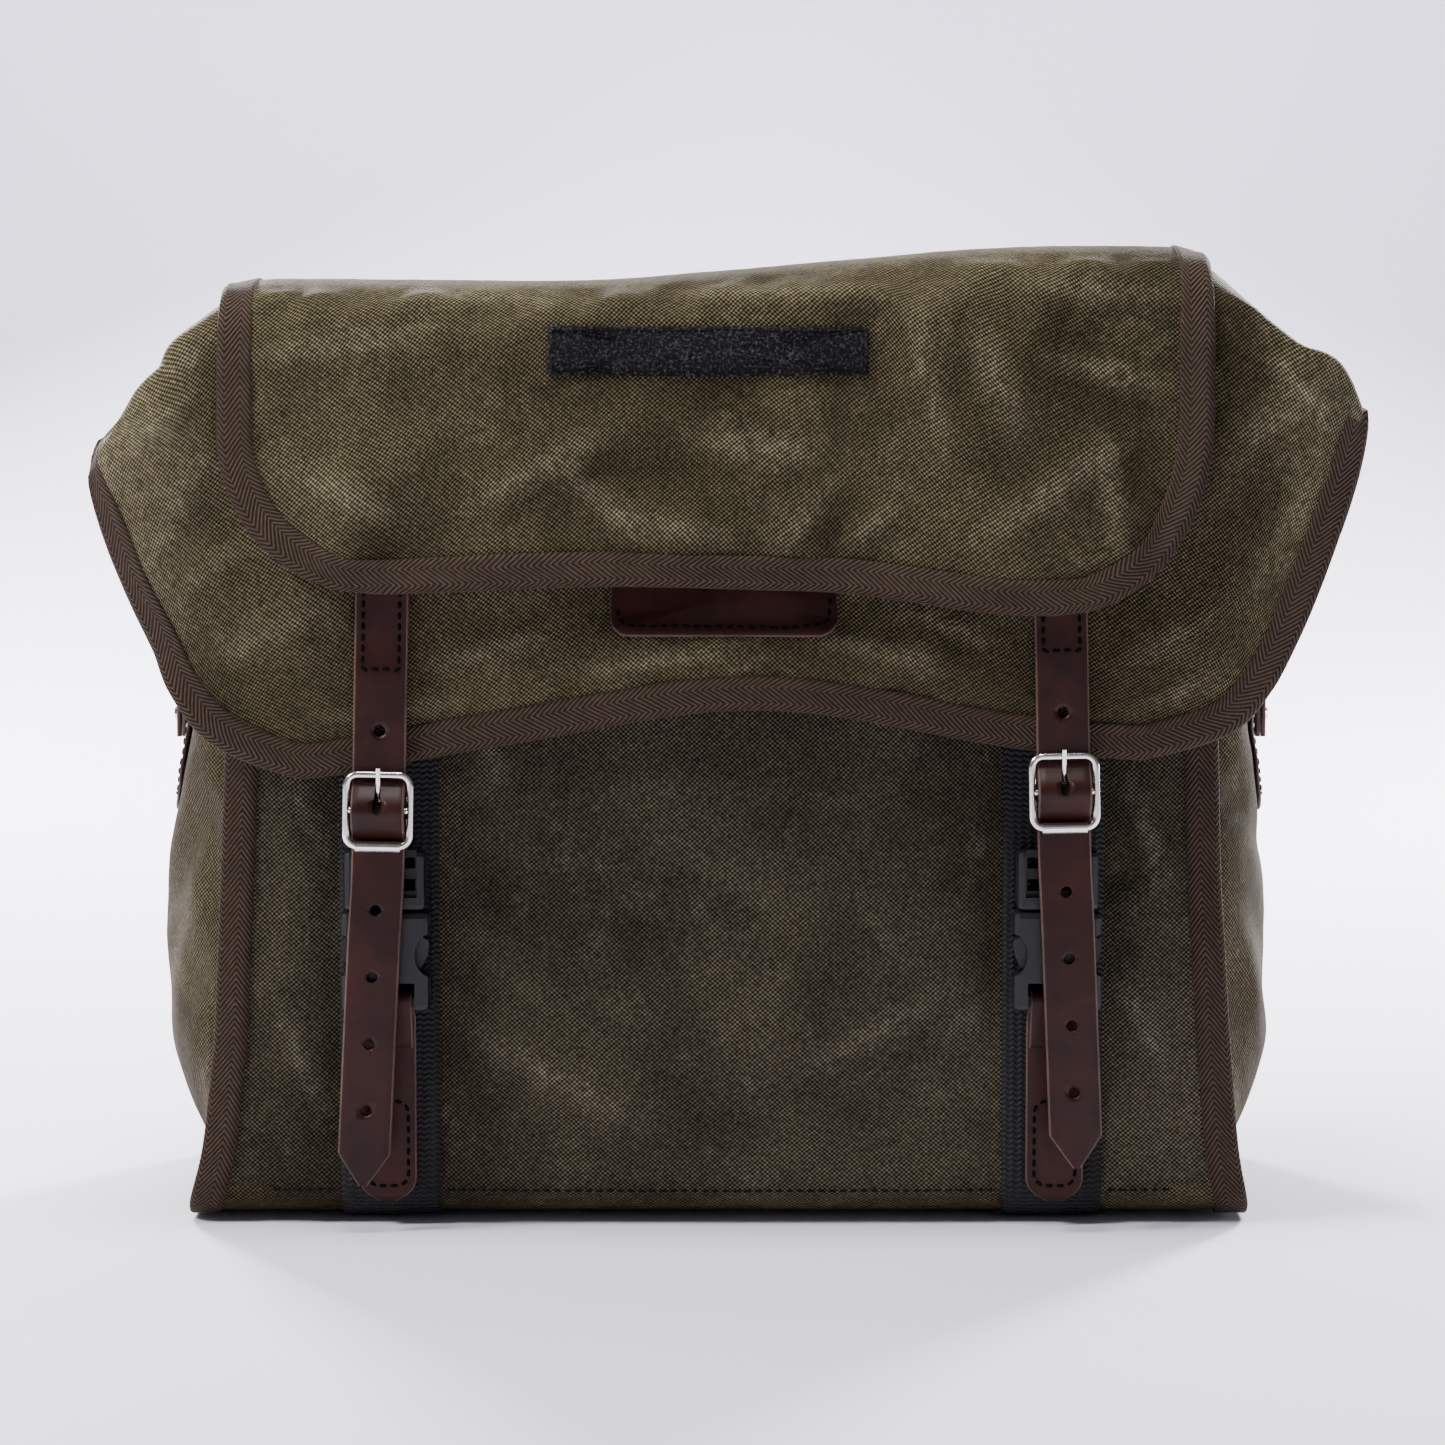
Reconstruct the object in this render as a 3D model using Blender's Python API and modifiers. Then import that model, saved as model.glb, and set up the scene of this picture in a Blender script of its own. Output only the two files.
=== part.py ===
"""A waxed-canvas saddlebag: a gusseted bag with a wide lid, an overflap and two leather closure straps.

Metres, +Z up, +Y towards the back, +X to the viewer's right when the front is looked at.
The origin is at the centre of the object's footprint, on the surface that it stands on.
"""

import math

import bmesh
import bpy
from mathutils import Matrix, Vector

MM = 0.001
GAP = 0.3 * MM

# Driving dimensions of the bag.
FRONT_Y = -71 * MM
BACK_Y = 91.2 * MM
BASE_Z = 2.6 * MM
MOUTH_Z = 322 * MM
CANVAS = 2 * MM
CORNER_R = 14 * MM
FIN = 13 * MM
EDGE_TOP = 184 * MM
EDGE_FLARE = 16 * MM
FLARE_HEIGHT = 120 * MM
GUSSET_BULGE = 33 * MM
FRONT_BULGE = 9 * MM
HEM_Z = 17 * MM

# Herringbone tape, folded over an edge.
TAPE_WIDTH = 12 * MM
TAPE_HALF_SLOT = 1.5 * MM
TAPE_HALF_OUT = 2.3 * MM

# Lid and overflap.
LID_Y = -87 * MM
LID_TOP_Z = 355 * MM
LID_HINGE_Z = 318 * MM
LID_FRONT_EDGE_Z = 181 * MM
SHOULDER_X = 176 * MM
FLAP_SEAM_Y = 55 * MM
FLAP_TOP_Z = 360 * MM
FLAP_Y = -94.3 * MM
FLAP_EDGE_Z = 243 * MM
FLAP_HALF_WIDTH = 183 * MM
FLAP_CORNER_R = 60 * MM

# Webbing, straps and their hardware.
WEB_X = 126 * MM
WEB_WIDTH = 38 * MM
WEB_THICK = 1.3 * MM
WEB_TOP_Z = 300 * MM
CLIP_X = 127 * MM
STRAP_X = 127.5 * MM
STRAP_WIDTH = 20 * MM
STRAP_THICK = 3 * MM
STRAP_LEAN = math.radians(1.2)
STRAP_TIP_Z = 20.5 * MM
STRAP_FLEX_Z = 211.7 * MM
STRAP_SHIFT = 3.5 * MM
BUCKLE_Z = 163.7 * MM
BUCKLE_Y = -94.35 * MM
BUCKLE_WIDTH = 27 * MM
BUCKLE_HEIGHT = 30 * MM
FLEX_Y = -92.6 * MM
BUCKLE_FROM_FLEX = BUCKLE_Y - FLEX_Y
WIRE_R = 1.45 * MM
BAR_R = 1.3 * MM
ROLLER_R = 2.2 * MM
HOLE_PITCH = 25.4 * MM
HOLE_R = 2.2 * MM

# Side-release clip.
CLIP_Y = -80.7 * MM
CLIP_WIDTH = 34 * MM
CLIP_THICK = 12.6 * MM
SOCKET_LOW_Z = 83 * MM
SOCKET_TOP_Z = 121 * MM
PLUG_TOP_Z = 144 * MM

# Side rings for a shoulder strap.
RING_Y = 10 * MM
RING_Z = 232 * MM
RING_WIRE_R = 1.6 * MM
RING_LEAN = math.radians(30)
PATCH_LOW_Z = 151 * MM
PATCH_TOP_Z = 226 * MM
CHAPE_LOW_Z = 179 * MM


def clear_scene():
    for old in list(bpy.data.objects):
        bpy.data.objects.remove(old)


def collection(name):
    made = bpy.data.collections.new(name)
    bpy.context.scene.collection.children.link(made)
    return made


def material(name, colour, roughness, metallic=0.0):
    made = bpy.data.materials.new(name)
    made.use_nodes = True
    shader = made.node_tree.nodes["Principled BSDF"]
    shader.inputs["Base Color"].default_value = (*colour, 1.0)
    shader.inputs["Roughness"].default_value = roughness
    shader.inputs["Metallic"].default_value = metallic
    return made


clear_scene()
PARTS = collection("saddlebag")
CUTTERS = collection("cutters")
CANVAS_OLIVE = material("waxed_canvas", (0.075, 0.066, 0.043), 0.6)
TAPE_BROWN = material("herringbone_tape", (0.060, 0.032, 0.022), 0.8)
LEATHER = material("bridle_leather", (0.085, 0.030, 0.022), 0.42)
WEBBING = material("black_webbing", (0.018, 0.018, 0.020), 0.6)
PLASTIC = material("acetal_plastic", (0.022, 0.022, 0.025), 0.4)
NICKEL = material("nickel_plate", (0.75, 0.73, 0.68), 0.2, 1.0)
BOARD = material("stiffener_board", (0.03, 0.03, 0.03), 0.5)
HOOK_LOOP = material("hook_and_loop", (0.012, 0.012, 0.014), 0.95)


def place(name, mesh, finish, parent=None):
    """A node from a mesh, in its parent's frame."""
    obj = bpy.data.objects.new(name, mesh)
    mesh.materials.clear()
    mesh.materials.append(finish)
    PARTS.objects.link(obj)
    obj.parent = parent
    return obj


def pivot(name, location, rotation=(0.0, 0.0, 0.0)):
    empty = bpy.data.objects.new(name, None)
    empty.location = location
    empty.rotation_euler = rotation
    PARTS.objects.link(empty)
    return empty


def mesh_from(bm, name):
    bmesh.ops.recalc_face_normals(bm, faces=bm.faces)
    mesh = bpy.data.meshes.new(name)
    bm.to_mesh(mesh)
    bm.free()
    mesh.shade_smooth()
    mesh.set_sharp_from_angle(angle=math.radians(35))
    return mesh


def sheet(name, surface, columns, rows, thickness, finish, parent=None):
    """A grid carried onto surface(u, v), u and v from 0 to 1, and thickened evenly about it."""
    bm = bmesh.new()
    bmesh.ops.create_grid(bm, x_segments=columns, y_segments=rows, size=0.5)
    for vert in bm.verts:
        vert.co = surface(vert.co.x + 0.5, vert.co.y + 0.5)
    mesh = bpy.data.meshes.new(name)
    bm.to_mesh(mesh)
    bm.free()
    mesh.shade_smooth()
    obj = place(name, mesh, finish, parent)
    solidify = obj.modifiers.new("thickness", "SOLIDIFY")
    solidify.thickness = thickness
    solidify.offset = 0.0
    solidify.use_even_offset = True
    return obj


def grid_of(surface, columns, rows):
    """Rows of points on a surface, row by row from v = 0."""
    return [[surface(i / columns, j / rows) for i in range(columns + 1)] for j in range(rows + 1)]


def hemmed(points, width):
    """Moves the grid's second line of points to width inside its two sides and its last row."""
    rows, columns = len(points) - 1, len(points[0]) - 1
    for j in range(rows - 1):
        for edge, second, third in ((0, 1, 2), (columns, columns - 1, columns - 2)):
            inward = (points[j][third] - points[j][edge]).normalized()
            points[j][second] = points[j][edge] + inward * width
    for i in range(2, columns - 1):
        upward = (points[rows - 2][i] - points[rows][i]).normalized()
        points[rows - 1][i] = points[rows][i] + upward * width
    for edge, second, third in ((0, 1, 2), (columns, columns - 1, columns - 2)):
        corner = points[rows][edge]
        along_row = (points[rows][third] - corner).normalized()
        up_side = (points[rows - 2][edge] - corner).normalized()
        inset = width / max(0.3, along_row.cross(up_side).length)
        points[rows - 1][second] = corner + (along_row + up_side) * inset
        points[rows - 1][edge] = (corner + points[rows - 2][edge]) / 2
        points[rows][second] = (corner + points[rows][third]) / 2
    return points


def grid_sheet(name, points, thickness, finish, parent=None):
    """A grid of given points, thickened evenly about it."""
    rows, columns = len(points) - 1, len(points[0]) - 1

    def surface(u, v):
        return points[round(v * rows)][round(u * columns)]

    return sheet(name, surface, columns, rows, thickness, finish, parent)


def grid_normal(points, j, i):
    rows, columns = len(points) - 1, len(points[0]) - 1
    du = points[j][min(i + 1, columns)] - points[j][max(i - 1, 0)]
    dv = points[min(j + 1, rows)][i] - points[max(j - 1, 0)][i]
    return dv.cross(du).normalized()


def grid_tape(name, points, first_row, finish, parent=None):
    """Tape folded over a hemmed grid's sides and last row, from first_row down, over and up again."""
    rows, columns = len(points) - 1, len(points[0]) - 1
    route = [((j, 0), (j, 1)) for j in range(first_row, rows - 1)]
    route.append(((rows, 0), (rows - 1, 1)))
    route += [((rows, i), (rows - 1, i)) for i in range(2, columns - 1)]
    route.append(((rows, columns), (rows - 1, columns - 1)))
    route += [((j, columns), (j, columns - 1)) for j in reversed(range(first_row, rows - 1))]
    bm = bmesh.new()
    rings = []
    for (je, ie), (ji, ii) in route:
        edge, inner = points[je][ie], points[ji][ii]
        n_edge, n_inner = grid_normal(points, je, ie), grid_normal(points, ji, ii)
        out = (edge - inner).normalized()
        loose = 0.5 * MM if je < 14 else 0.0
        wide, near = TAPE_HALF_OUT + loose, TAPE_HALF_SLOT + loose
        places = (
            inner + n_inner * wide,
            edge + n_edge * wide + out * near,
            edge - n_edge * wide + out * near,
            inner - n_inner * wide,
            inner - n_inner * near,
            edge - n_edge * near + out * (0.5 * MM + loose),
            edge + n_edge * near + out * (0.5 * MM + loose),
            inner + n_inner * near,
        )
        rings.append([bm.verts.new(place) for place in places])
    for first, second in zip(rings, rings[1:]):
        for i in range(8):
            j = (i + 1) % 8
            bm.faces.new((first[i], first[j], second[j], second[i]))
    for ring in (rings[0], rings[-1]):
        bm.faces.new(ring)
    bmesh.ops.triangulate(bm, faces=bm.faces)
    return place(name, mesh_from(bm, name), finish, parent)


def sweep(name, frames, profile, finish, parent=None):
    """A closed profile of (inward, outward) distances carried along frames of (point, inward, outward)."""
    bm = bmesh.new()
    rings = [
        [bm.verts.new(point + inward * a + outward * b) for a, b in profile]
        for point, inward, outward in frames
    ]
    count = len(profile)
    for first, second in zip(rings, rings[1:]):
        for i in range(count):
            j = (i + 1) % count
            bm.faces.new((first[i], first[j], second[j], second[i]))
    for ring in (rings[0], rings[-1]):
        bm.faces.new(ring)
    bmesh.ops.triangulate(bm, faces=[f for f in bm.faces if len(f.verts) > 4])
    return place(name, mesh_from(bm, name), finish, parent)


def folded_tape(width=TAPE_WIDTH):
    """The section of a tape folded over an edge: a U whose slot takes the canvas."""
    return (
        (width, TAPE_HALF_OUT),
        (-TAPE_HALF_SLOT, TAPE_HALF_OUT),
        (-TAPE_HALF_SLOT, -TAPE_HALF_OUT),
        (width, -TAPE_HALF_OUT),
        (width, -TAPE_HALF_SLOT),
        (-GAP, -TAPE_HALF_SLOT),
        (-GAP, TAPE_HALF_SLOT),
        (width, TAPE_HALF_SLOT),
    )


def box_mesh(size, centre):
    bm = bmesh.new()
    bmesh.ops.create_cube(bm, size=1.0)
    bmesh.ops.scale(bm, vec=Vector(size), verts=bm.verts)
    bmesh.ops.translate(bm, vec=Vector(centre), verts=bm.verts)
    mesh = bpy.data.meshes.new("box")
    bm.to_mesh(mesh)
    bm.free()
    return mesh


def rod_mesh(radius, length, centre, direction, sides=16, tip_radius=None):
    """A cylinder or a cone frustum centred on a point, lying along a direction."""
    bm = bmesh.new()
    turn = Vector(direction).to_track_quat("Z", "Y").to_matrix().to_4x4()
    bmesh.ops.create_cone(
        bm,
        cap_ends=True,
        segments=sides,
        radius1=radius,
        radius2=radius if tip_radius is None else tip_radius,
        depth=length,
        matrix=Matrix.Translation(Vector(centre)) @ turn,
    )
    mesh = bpy.data.meshes.new("rod")
    bm.to_mesh(mesh)
    bm.free()
    mesh.shade_smooth()
    mesh.set_sharp_from_angle(angle=math.radians(35))
    return mesh


def boolean(obj, mesh, operation="DIFFERENCE"):
    """Cuts or joins obj with a mesh that is given in obj's own frame."""
    tool = bpy.data.objects.new(obj.name + "_tool", mesh)
    CUTTERS.objects.link(tool)
    tool.parent = obj.parent
    tool.hide_render = True
    tool.display_type = "WIRE"
    modifier = obj.modifiers.new(operation.lower(), "BOOLEAN")
    modifier.operation = operation
    modifier.object = tool
    modifier.solver = "EXACT"


def bevel(obj, width, segments=2, angle=40):
    modifier = obj.modifiers.new("rounded_edges", "BEVEL")
    modifier.width = width
    modifier.segments = segments
    modifier.limit_method = "ANGLE"
    modifier.angle_limit = math.radians(angle)


def wire(name, points, radius, finish, closed=False, parent=None, resolution=2):
    """A round wire through points, turned into a mesh with its caps welded."""
    curve = bpy.data.curves.new(name, "CURVE")
    curve.dimensions = "3D"
    curve.bevel_depth = radius
    curve.bevel_resolution = resolution
    curve.use_fill_caps = True
    spline = curve.splines.new("POLY")
    spline.points.add(len(points) - 1)
    for slot, point in zip(spline.points, points):
        slot.co = (*point, 1.0)
    spline.use_cyclic_u = closed
    maker = bpy.data.objects.new(name + "_path", curve)
    bpy.context.scene.collection.objects.link(maker)
    bpy.context.view_layer.update()
    graph = bpy.context.evaluated_depsgraph_get()
    mesh = bpy.data.meshes.new_from_object(maker.evaluated_get(graph))
    bpy.data.objects.remove(maker)
    bm = bmesh.new()
    bm.from_mesh(mesh)
    bmesh.ops.remove_doubles(bm, verts=bm.verts, dist=0.01 * MM)
    return place(name, mesh_from(bm, name), finish, parent)


def smooth(t):
    t = min(1.0, max(0.0, t))
    return t * t * (3 - 2 * t)


def along(points, t):
    """A point at share t of a Catmull-Rom curve through points."""
    points = [Vector(p) for p in points]
    at = min(max(t, 0.0), 1.0) * (len(points) - 1)
    i = min(int(at), len(points) - 2)
    f = at - i
    p0 = points[max(i - 1, 0)]
    p1, p2 = points[i], points[i + 1]
    p3 = points[min(i + 2, len(points) - 1)]
    return 0.5 * (
        2 * p1
        + (p2 - p0) * f
        + (2 * p0 - 5 * p1 + 4 * p2 - p3) * f * f
        + (3 * p1 - p0 - 3 * p2 + p3) * f**3
    )


def outward_normal(surface, u, v, side):
    step = 0.002
    du = surface(min(u + step, 1), v) - surface(max(u - step, 0), v)
    dv = surface(u, min(v + step, 1)) - surface(u, max(v - step, 0))
    return du.cross(dv).normalized() * side


# --- the bag ---------------------------------------------------------------


def edge_x(z):
    """The outer edge of the side seams: the bag is widest at its base."""
    return EDGE_TOP + EDGE_FLARE * math.exp(-max(z, 0.0) / FLARE_HEIGHT)


def front_x(u, z):
    """Across the front: columns stand just inside the webbing, where the bulge begins."""
    half = edge_x(z) - 2 * GAP
    inner = WEB_X - WEB_WIDTH / 2 - 1 * MM
    across = 2 * u - 1
    share = abs(across)
    x = inner * share / 0.75 if share < 0.75 else inner + (half - inner) * (share - 0.75) / 0.25
    return math.copysign(x, across)


def front_surface(u, v):
    z = HEM_Z + (MOUTH_Z - HEM_Z) * v
    x = front_x(u, z)
    between_straps = max(0.0, 1 - (x / (WEB_X - WEB_WIDTH / 2 - 1 * MM)) ** 2)
    puff = FRONT_BULGE * between_straps * math.sin(math.pi * min(1.0, v / 0.9)) ** 0.7
    return Vector((x, FRONT_Y - puff, z))


def back_surface(u, v):
    z = HEM_Z + (MOUTH_Z - HEM_Z) * v
    half = edge_x(z) - 2 * GAP
    return Vector((half * (2 * u - 1), BACK_Y, z))


def tray_path(radius, y_front, y_back, z_base, z_top, corner_steps=5):
    """Down the front, round the bottom corners and up the back, as (y, z, outward) places."""
    down = Vector((0, 0, -1))
    places = [(Vector((0, y_front, z_top)), Vector((0, -1, 0)))]
    for centre_y, start in ((y_front + radius, 180), (y_back - radius, 270)):
        for step in range(corner_steps + 1):
            angle = math.radians(start + 90 * step / corner_steps)
            out = Vector((0, math.cos(angle), math.sin(angle)))
            centre = Vector((0, centre_y, z_base + radius))
            places.append((centre + out * radius, out))
        if start == 180:
            middle = Vector((0, (y_front + y_back) / 2, z_base))
            places.append((middle, down))
    places.append((Vector((0, y_back, z_top)), Vector((0, 1, 0))))
    return places


def strip_on(places, half_width):
    """The surface of a strip as wide as half_width(z) on each side, along the places."""

    def surface(u, v):
        point, _ = places[round(v * (len(places) - 1))]
        return point + Vector((half_width(point.z) * (2 * u - 1), 0, 0))

    return surface


def gusset_x(y, z):
    """How far out a gusset stands: flat beside its seams, bulging between them."""
    deep = min(y - FRONT_Y, BACK_Y - y, z - BASE_Z)
    low_y = min(y - FRONT_Y, BACK_Y - y)
    if z - BASE_Z < CORNER_R and low_y < CORNER_R:
        deep = CORNER_R - math.hypot(CORNER_R - low_y, CORNER_R - (z - BASE_Z))
    share = min(1.0, max(0.0, (y - FRONT_Y) / (BACK_Y - FRONT_Y)))
    rise = (z - BASE_Z) / (MOUTH_Z - BASE_Z)
    across = math.sin(math.pi * share) ** 0.6
    up = math.sin(math.pi * 0.5 * min(1.0, rise / 0.35)) * (1 - 0.35 * smooth((rise - 0.6) / 0.4))
    ramp = smooth((deep - 3.6 * MM) / (11 * MM))
    return edge_x(z) - FIN - 1.5 * MM + GUSSET_BULGE * across * max(0.0, up) * ramp


def gusset_grid(side):
    clear = CANVAS / 2 + GAP
    steps = [0, 2.4, 6, 11, 20, 34, 56, 80.2]
    steps = [s / steps[-1] for s in steps]
    columns = [-1 + s for s in steps] + [1 - s for s in reversed(steps[:-1])]
    rises = [0, 2.4, 6, 11, 19, 38, 62, 90, 122, 155, 190, 225, 260, 290]
    low = BASE_Z + clear
    middle, half = (FRONT_Y + BACK_Y) / 2, (BACK_Y - FRONT_Y) / 2 - clear
    points = []
    for rise in [r * MM for r in rises] + [MOUTH_Z - low]:
        z = low + rise
        radius = CORNER_R - clear
        drop = max(0.0, radius - rise)
        reach = half - (radius - math.sqrt(max(0.0, radius**2 - drop**2)))
        row = [middle + share * reach for share in columns]
        points.append([Vector((side * gusset_x(y, z), y, z)) for y in row])
    return points


def bag_panels():
    sheet("front_panel", front_surface, 16, 12, CANVAS, CANVAS_OLIVE)
    sheet("back_panel", back_surface, 2, 8, CANVAS, CANVAS_OLIVE)
    places = tray_path(CORNER_R, FRONT_Y, BACK_Y, BASE_Z, HEM_Z - GAP)
    tray = strip_on(places, lambda z: edge_x(z) - 2 * GAP)
    sheet("base_panel", tray, 2, len(places) - 1, CANVAS, CANVAS_OLIVE)
    for side, name in ((-1, "left"), (1, "right")):
        grid_sheet(f"gusset_{name}", gusset_grid(side), CANVAS, CANVAS_OLIVE)


def seam_bindings():
    """Tape over the side seams, in one run down the front, under the base and up the back."""
    front_top = 312 * MM
    levels = [front_top - step * (front_top - HEM_Z) / 6 for step in range(7)]
    places = [(Vector((0, FRONT_Y, z)), Vector((0, -1, 0))) for z in levels]
    places += tray_path(CORNER_R, FRONT_Y, BACK_Y, BASE_Z, HEM_Z)[1:-1]
    places += [(Vector((0, BACK_Y, z)), Vector((0, 1, 0))) for z in reversed(levels)]
    for side, name in ((-1, "left"), (1, "right")):
        frames = [
            (point + Vector((side * edge_x(point.z), 0, 0)), Vector((-side, 0, 0)), out)
            for point, out in places
        ]
        sweep(f"seam_binding_{name}", frames, folded_tape(), TAPE_BROWN)


def mouth_bindings():
    """Tape over the top edges of the front panel and of the two gussets."""
    inset = FIN + 6 * MM
    half = edge_x(MOUTH_Z) - inset
    frames = []
    for step in range(13):
        x = half * (step / 6 - 1)
        u = (x / (edge_x(MOUTH_Z) - 2 * GAP) + 1) / 2
        point = front_surface(u, 1.0)
        frames.append((point, Vector((0, 0, -1)), Vector((0, -1, 0))))
    sweep("mouth_binding_front", frames, folded_tape(), TAPE_BROWN)
    for side, name in ((-1, "left"), (1, "right")):
        below, top = gusset_grid(side)[-2:]
        frames = []
        for i in range(1, len(top) - 1):
            ahead = top[i + 1] - top[i - 1]
            out = Vector((0, 0, 1)).cross(ahead).normalized() * -side
            frames.append((top[i], (below[i] - top[i]).normalized(), out))
        sweep(f"mouth_binding_{name}", frames, folded_tape(), TAPE_BROWN)


def boards():
    """Plastic sheets inside that keep the back and the base flat."""
    thick = 2.5 * MM
    inside_back = BACK_Y - CANVAS / 2 - 2 * GAP - thick / 2
    inside_base = BASE_Z + CANVAS / 2 + 2 * GAP + thick / 2
    back_height = 270 * MM
    low = inside_base + thick / 2 + 2 * GAP + CORNER_R
    centre = (0, inside_back, low + back_height / 2)
    back = place("back_board", box_mesh((318 * MM, thick, back_height), centre), BOARD)
    bevel(back, 0.8 * MM, 1)
    middle = (FRONT_Y + BACK_Y) / 2
    depth = BACK_Y - FRONT_Y - 2 * CORNER_R - 4 * MM
    base = place("base_board", box_mesh((334 * MM, depth, thick), (0, middle, inside_base)), BOARD)
    bevel(base, 0.8 * MM, 1)


def webbings():
    """Load webbing in one run from under the lid, down the front, under the base and up the back."""
    lift = CANVAS / 2 + GAP + WEB_THICK / 2
    places = tray_path(
        CORNER_R + lift, FRONT_Y - lift, BACK_Y + lift, WEB_THICK / 2, WEB_TOP_Z
    )
    for side, name in ((-1, "left"), (1, "right")):
        run = strip_on(places, lambda z: WEB_WIDTH / 2)

        def surface(u, v, run=run, side=side):
            return run(u, v) + Vector((side * WEB_X, 0, 0))

        sheet(f"webbing_{name}", surface, 2, len(places) - 1, WEB_THICK, WEBBING)


def rack_loops():
    """Webbing loops on the back that rack straps go through."""
    face = BACK_Y + CANVAS / 2 + GAP + WEB_THICK + GAP + WEB_THICK / 2
    rise = 5.7 * MM
    low, high = 215 * MM, 285 * MM
    tack = 11 * MM
    for side, name in ((-1, "left"), (1, "right")):

        def surface(u, v, side=side):
            z = low + (high - low) * v
            from_end = min(z - low, high - z)
            y = face + rise * smooth((from_end - tack) / (7 * MM))
            return Vector((side * WEB_X + (u - 0.5) * WEB_WIDTH, y, z))

        sheet(f"rack_loop_{name}", surface, 2, 20, WEB_THICK, WEBBING)


# --- side rings --------------------------------------------------------------


def side_rings():
    """On each gusset: a leather patch, a riveted leather chape and a metal D-ring."""
    patch_thick, chape_thick = 2.2 * MM, 1.8 * MM
    chape_width = 19 * MM
    for side, name in ((-1, "left"), (1, "right")):
        def patch(u, v, side=side):
            z = PATCH_LOW_Z + (PATCH_TOP_Z - PATCH_LOW_Z) * v
            half = 21 * MM * math.sqrt(min(1.0, 0.12 + 3.2 * v))
            y = RING_Y + half * (2 * u - 1)
            lift = CANVAS / 2 + GAP + patch_thick / 2
            return Vector((side * (gusset_x(y, z) + lift), y, z))

        sheet(f"side_patch_{name}", patch, 6, 10, patch_thick, LEATHER)

        face = max(abs(patch(u / 6, v / 10).x) for u in range(7) for v in range(11))
        bar_x = face + patch_thick / 2 + GAP + chape_thick + GAP + RING_WIRE_R + 0.2 * MM
        turn = RING_WIRE_R + GAP + chape_thick / 2
        near_x, far_x = bar_x - turn, bar_x + turn
        pinch = 1.6 * MM
        route = [Vector((near_x, 0, CHAPE_LOW_Z)), Vector((near_x, 0, 205 * MM))]
        route.append(Vector((near_x, 0, RING_Z - 6 * MM)))
        for step in range(9):
            angle = math.pi - math.pi * step / 8
            route.append(Vector((bar_x + turn * math.cos(angle), 0, RING_Z + turn * math.sin(angle))))
        route.append(Vector((far_x, 0, RING_Z - 6 * MM)))
        route.append(Vector((near_x + pinch + 0.6 * MM, 0, 205 * MM)))
        route.append(Vector((near_x + pinch + 0.6 * MM, 0, CHAPE_LOW_Z)))

        def chape(u, v, route=route, side=side):
            point = route[round(v * (len(route) - 1))]
            y = RING_Y + chape_width * (u - 0.5)
            return Vector((side * point.x, y, point.z))

        sheet(f"ring_chape_{name}", chape, 1, len(route) - 1, chape_thick, LEATHER)

        cap_x = near_x + pinch + 0.6 * MM + chape_thick / 2 + GAP + 0.7 * MM
        cap = rod_mesh(
            3.6 * MM, 1.4 * MM, (side * cap_x, RING_Y, 188 * MM), (side, 0, 0), 16, 2.2 * MM
        )
        place(f"ring_rivet_{name}", cap, NICKEL)

        half_bar, rise, corner = 13.5 * MM, 20 * MM, 8 * MM
        place_at = (side * bar_x, RING_Y, RING_Z)
        hinge = pivot(f"d_ring_{name}_axis", place_at, (0, -side * RING_LEAN, 0))
        outline = [Vector((0, -half_bar, 0)), Vector((0, half_bar, 0))]
        outline.append(Vector((0, half_bar, rise - corner - 2 * MM)))
        arch = [math.pi * step / 8 for step in range(9)]
        outline += [
            Vector((0, half_bar * math.cos(a), rise - corner + corner * math.sin(a))) for a in arch
        ]
        outline.append(Vector((0, -half_bar, rise - corner - 2 * MM)))
        wire(f"d_ring_{name}", outline, RING_WIRE_R, NICKEL, closed=True, parent=hinge)


# --- lid and overflap ----------------------------------------------------------

# Down the middle of the lid, from its back seam to its front edge, as (y, z) in millimetres.
LID_PROFILE = [
    (94.4, 318.3), (94.2, 332), (90, 345), (78, 352), (40, 356.5), (-20, 358), (-55, 356.5),
    (-74, 351), (-84, 340), (-87, 324), (-87, 300), (-87, 270), (-87, 240), (-87, 210), (-87, 181),
]
# The lid's free edge on the same rows, as (x, y, z): out past the gussets, then in down the front.
LID_EDGE = [
    (180, 94.4, 318.3), (206, 94, 323), (218, 88, 318), (224, 74, 311), (227, 40, 304),
    (228, -10, 301), (231, -45, 299), (236, -68, 296), (240, -81, 290), (236, -87, 270),
    (227, -88, 247), (215, -88, 224), (203, -88, 205), (190, -87.5, 190), (160, -87, 180),
]
FLAP_PROFILE = [
    (55, 359.9), (10, 361.6), (-30, 361.8), (-58, 360.2), (-76, 355.5), (-88, 346), (-93.6, 332),
    (-94.3, 315), (-94.3, 290), (-94.3, 265), (-94.3, 243),
]


def lid_surface(u, v):
    across = 2 * u - 1
    side = 1 if across >= 0 else -1
    share = abs(across)
    y, z = (c * MM for c in along([(*p, 0) for p in LID_PROFILE], v).to_2d())
    edge = along(LID_EDGE, v) * MM
    flat = min(SHOULDER_X, edge.x - 27 * MM)
    split = 0.74
    if share < split:
        point = Vector((flat * share / split, y, z))
    else:
        t = (share - split) / (1 - split)
        knee = Vector((flat + 0.55 * (edge.x - flat), 0.4 * y + 0.6 * edge.y, z))
        start = Vector((flat, y, z))
        point = start * (1 - t) ** 2 + knee * (2 * t * (1 - t)) + edge * t * t
    return Vector((side * point.x, point.y, point.z))


def flap_half_width(z, y):
    """Half the overflap's width, with its lower corners rounded."""
    if y > LID_Y or z > FLAP_EDGE_Z + FLAP_CORNER_R:
        return FLAP_HALF_WIDTH
    rise = max(0.0, z - FLAP_EDGE_Z) / FLAP_CORNER_R
    return FLAP_HALF_WIDTH - FLAP_CORNER_R * (1 - math.sqrt(max(0.0, 1 - (1 - rise) ** 2)))


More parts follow.
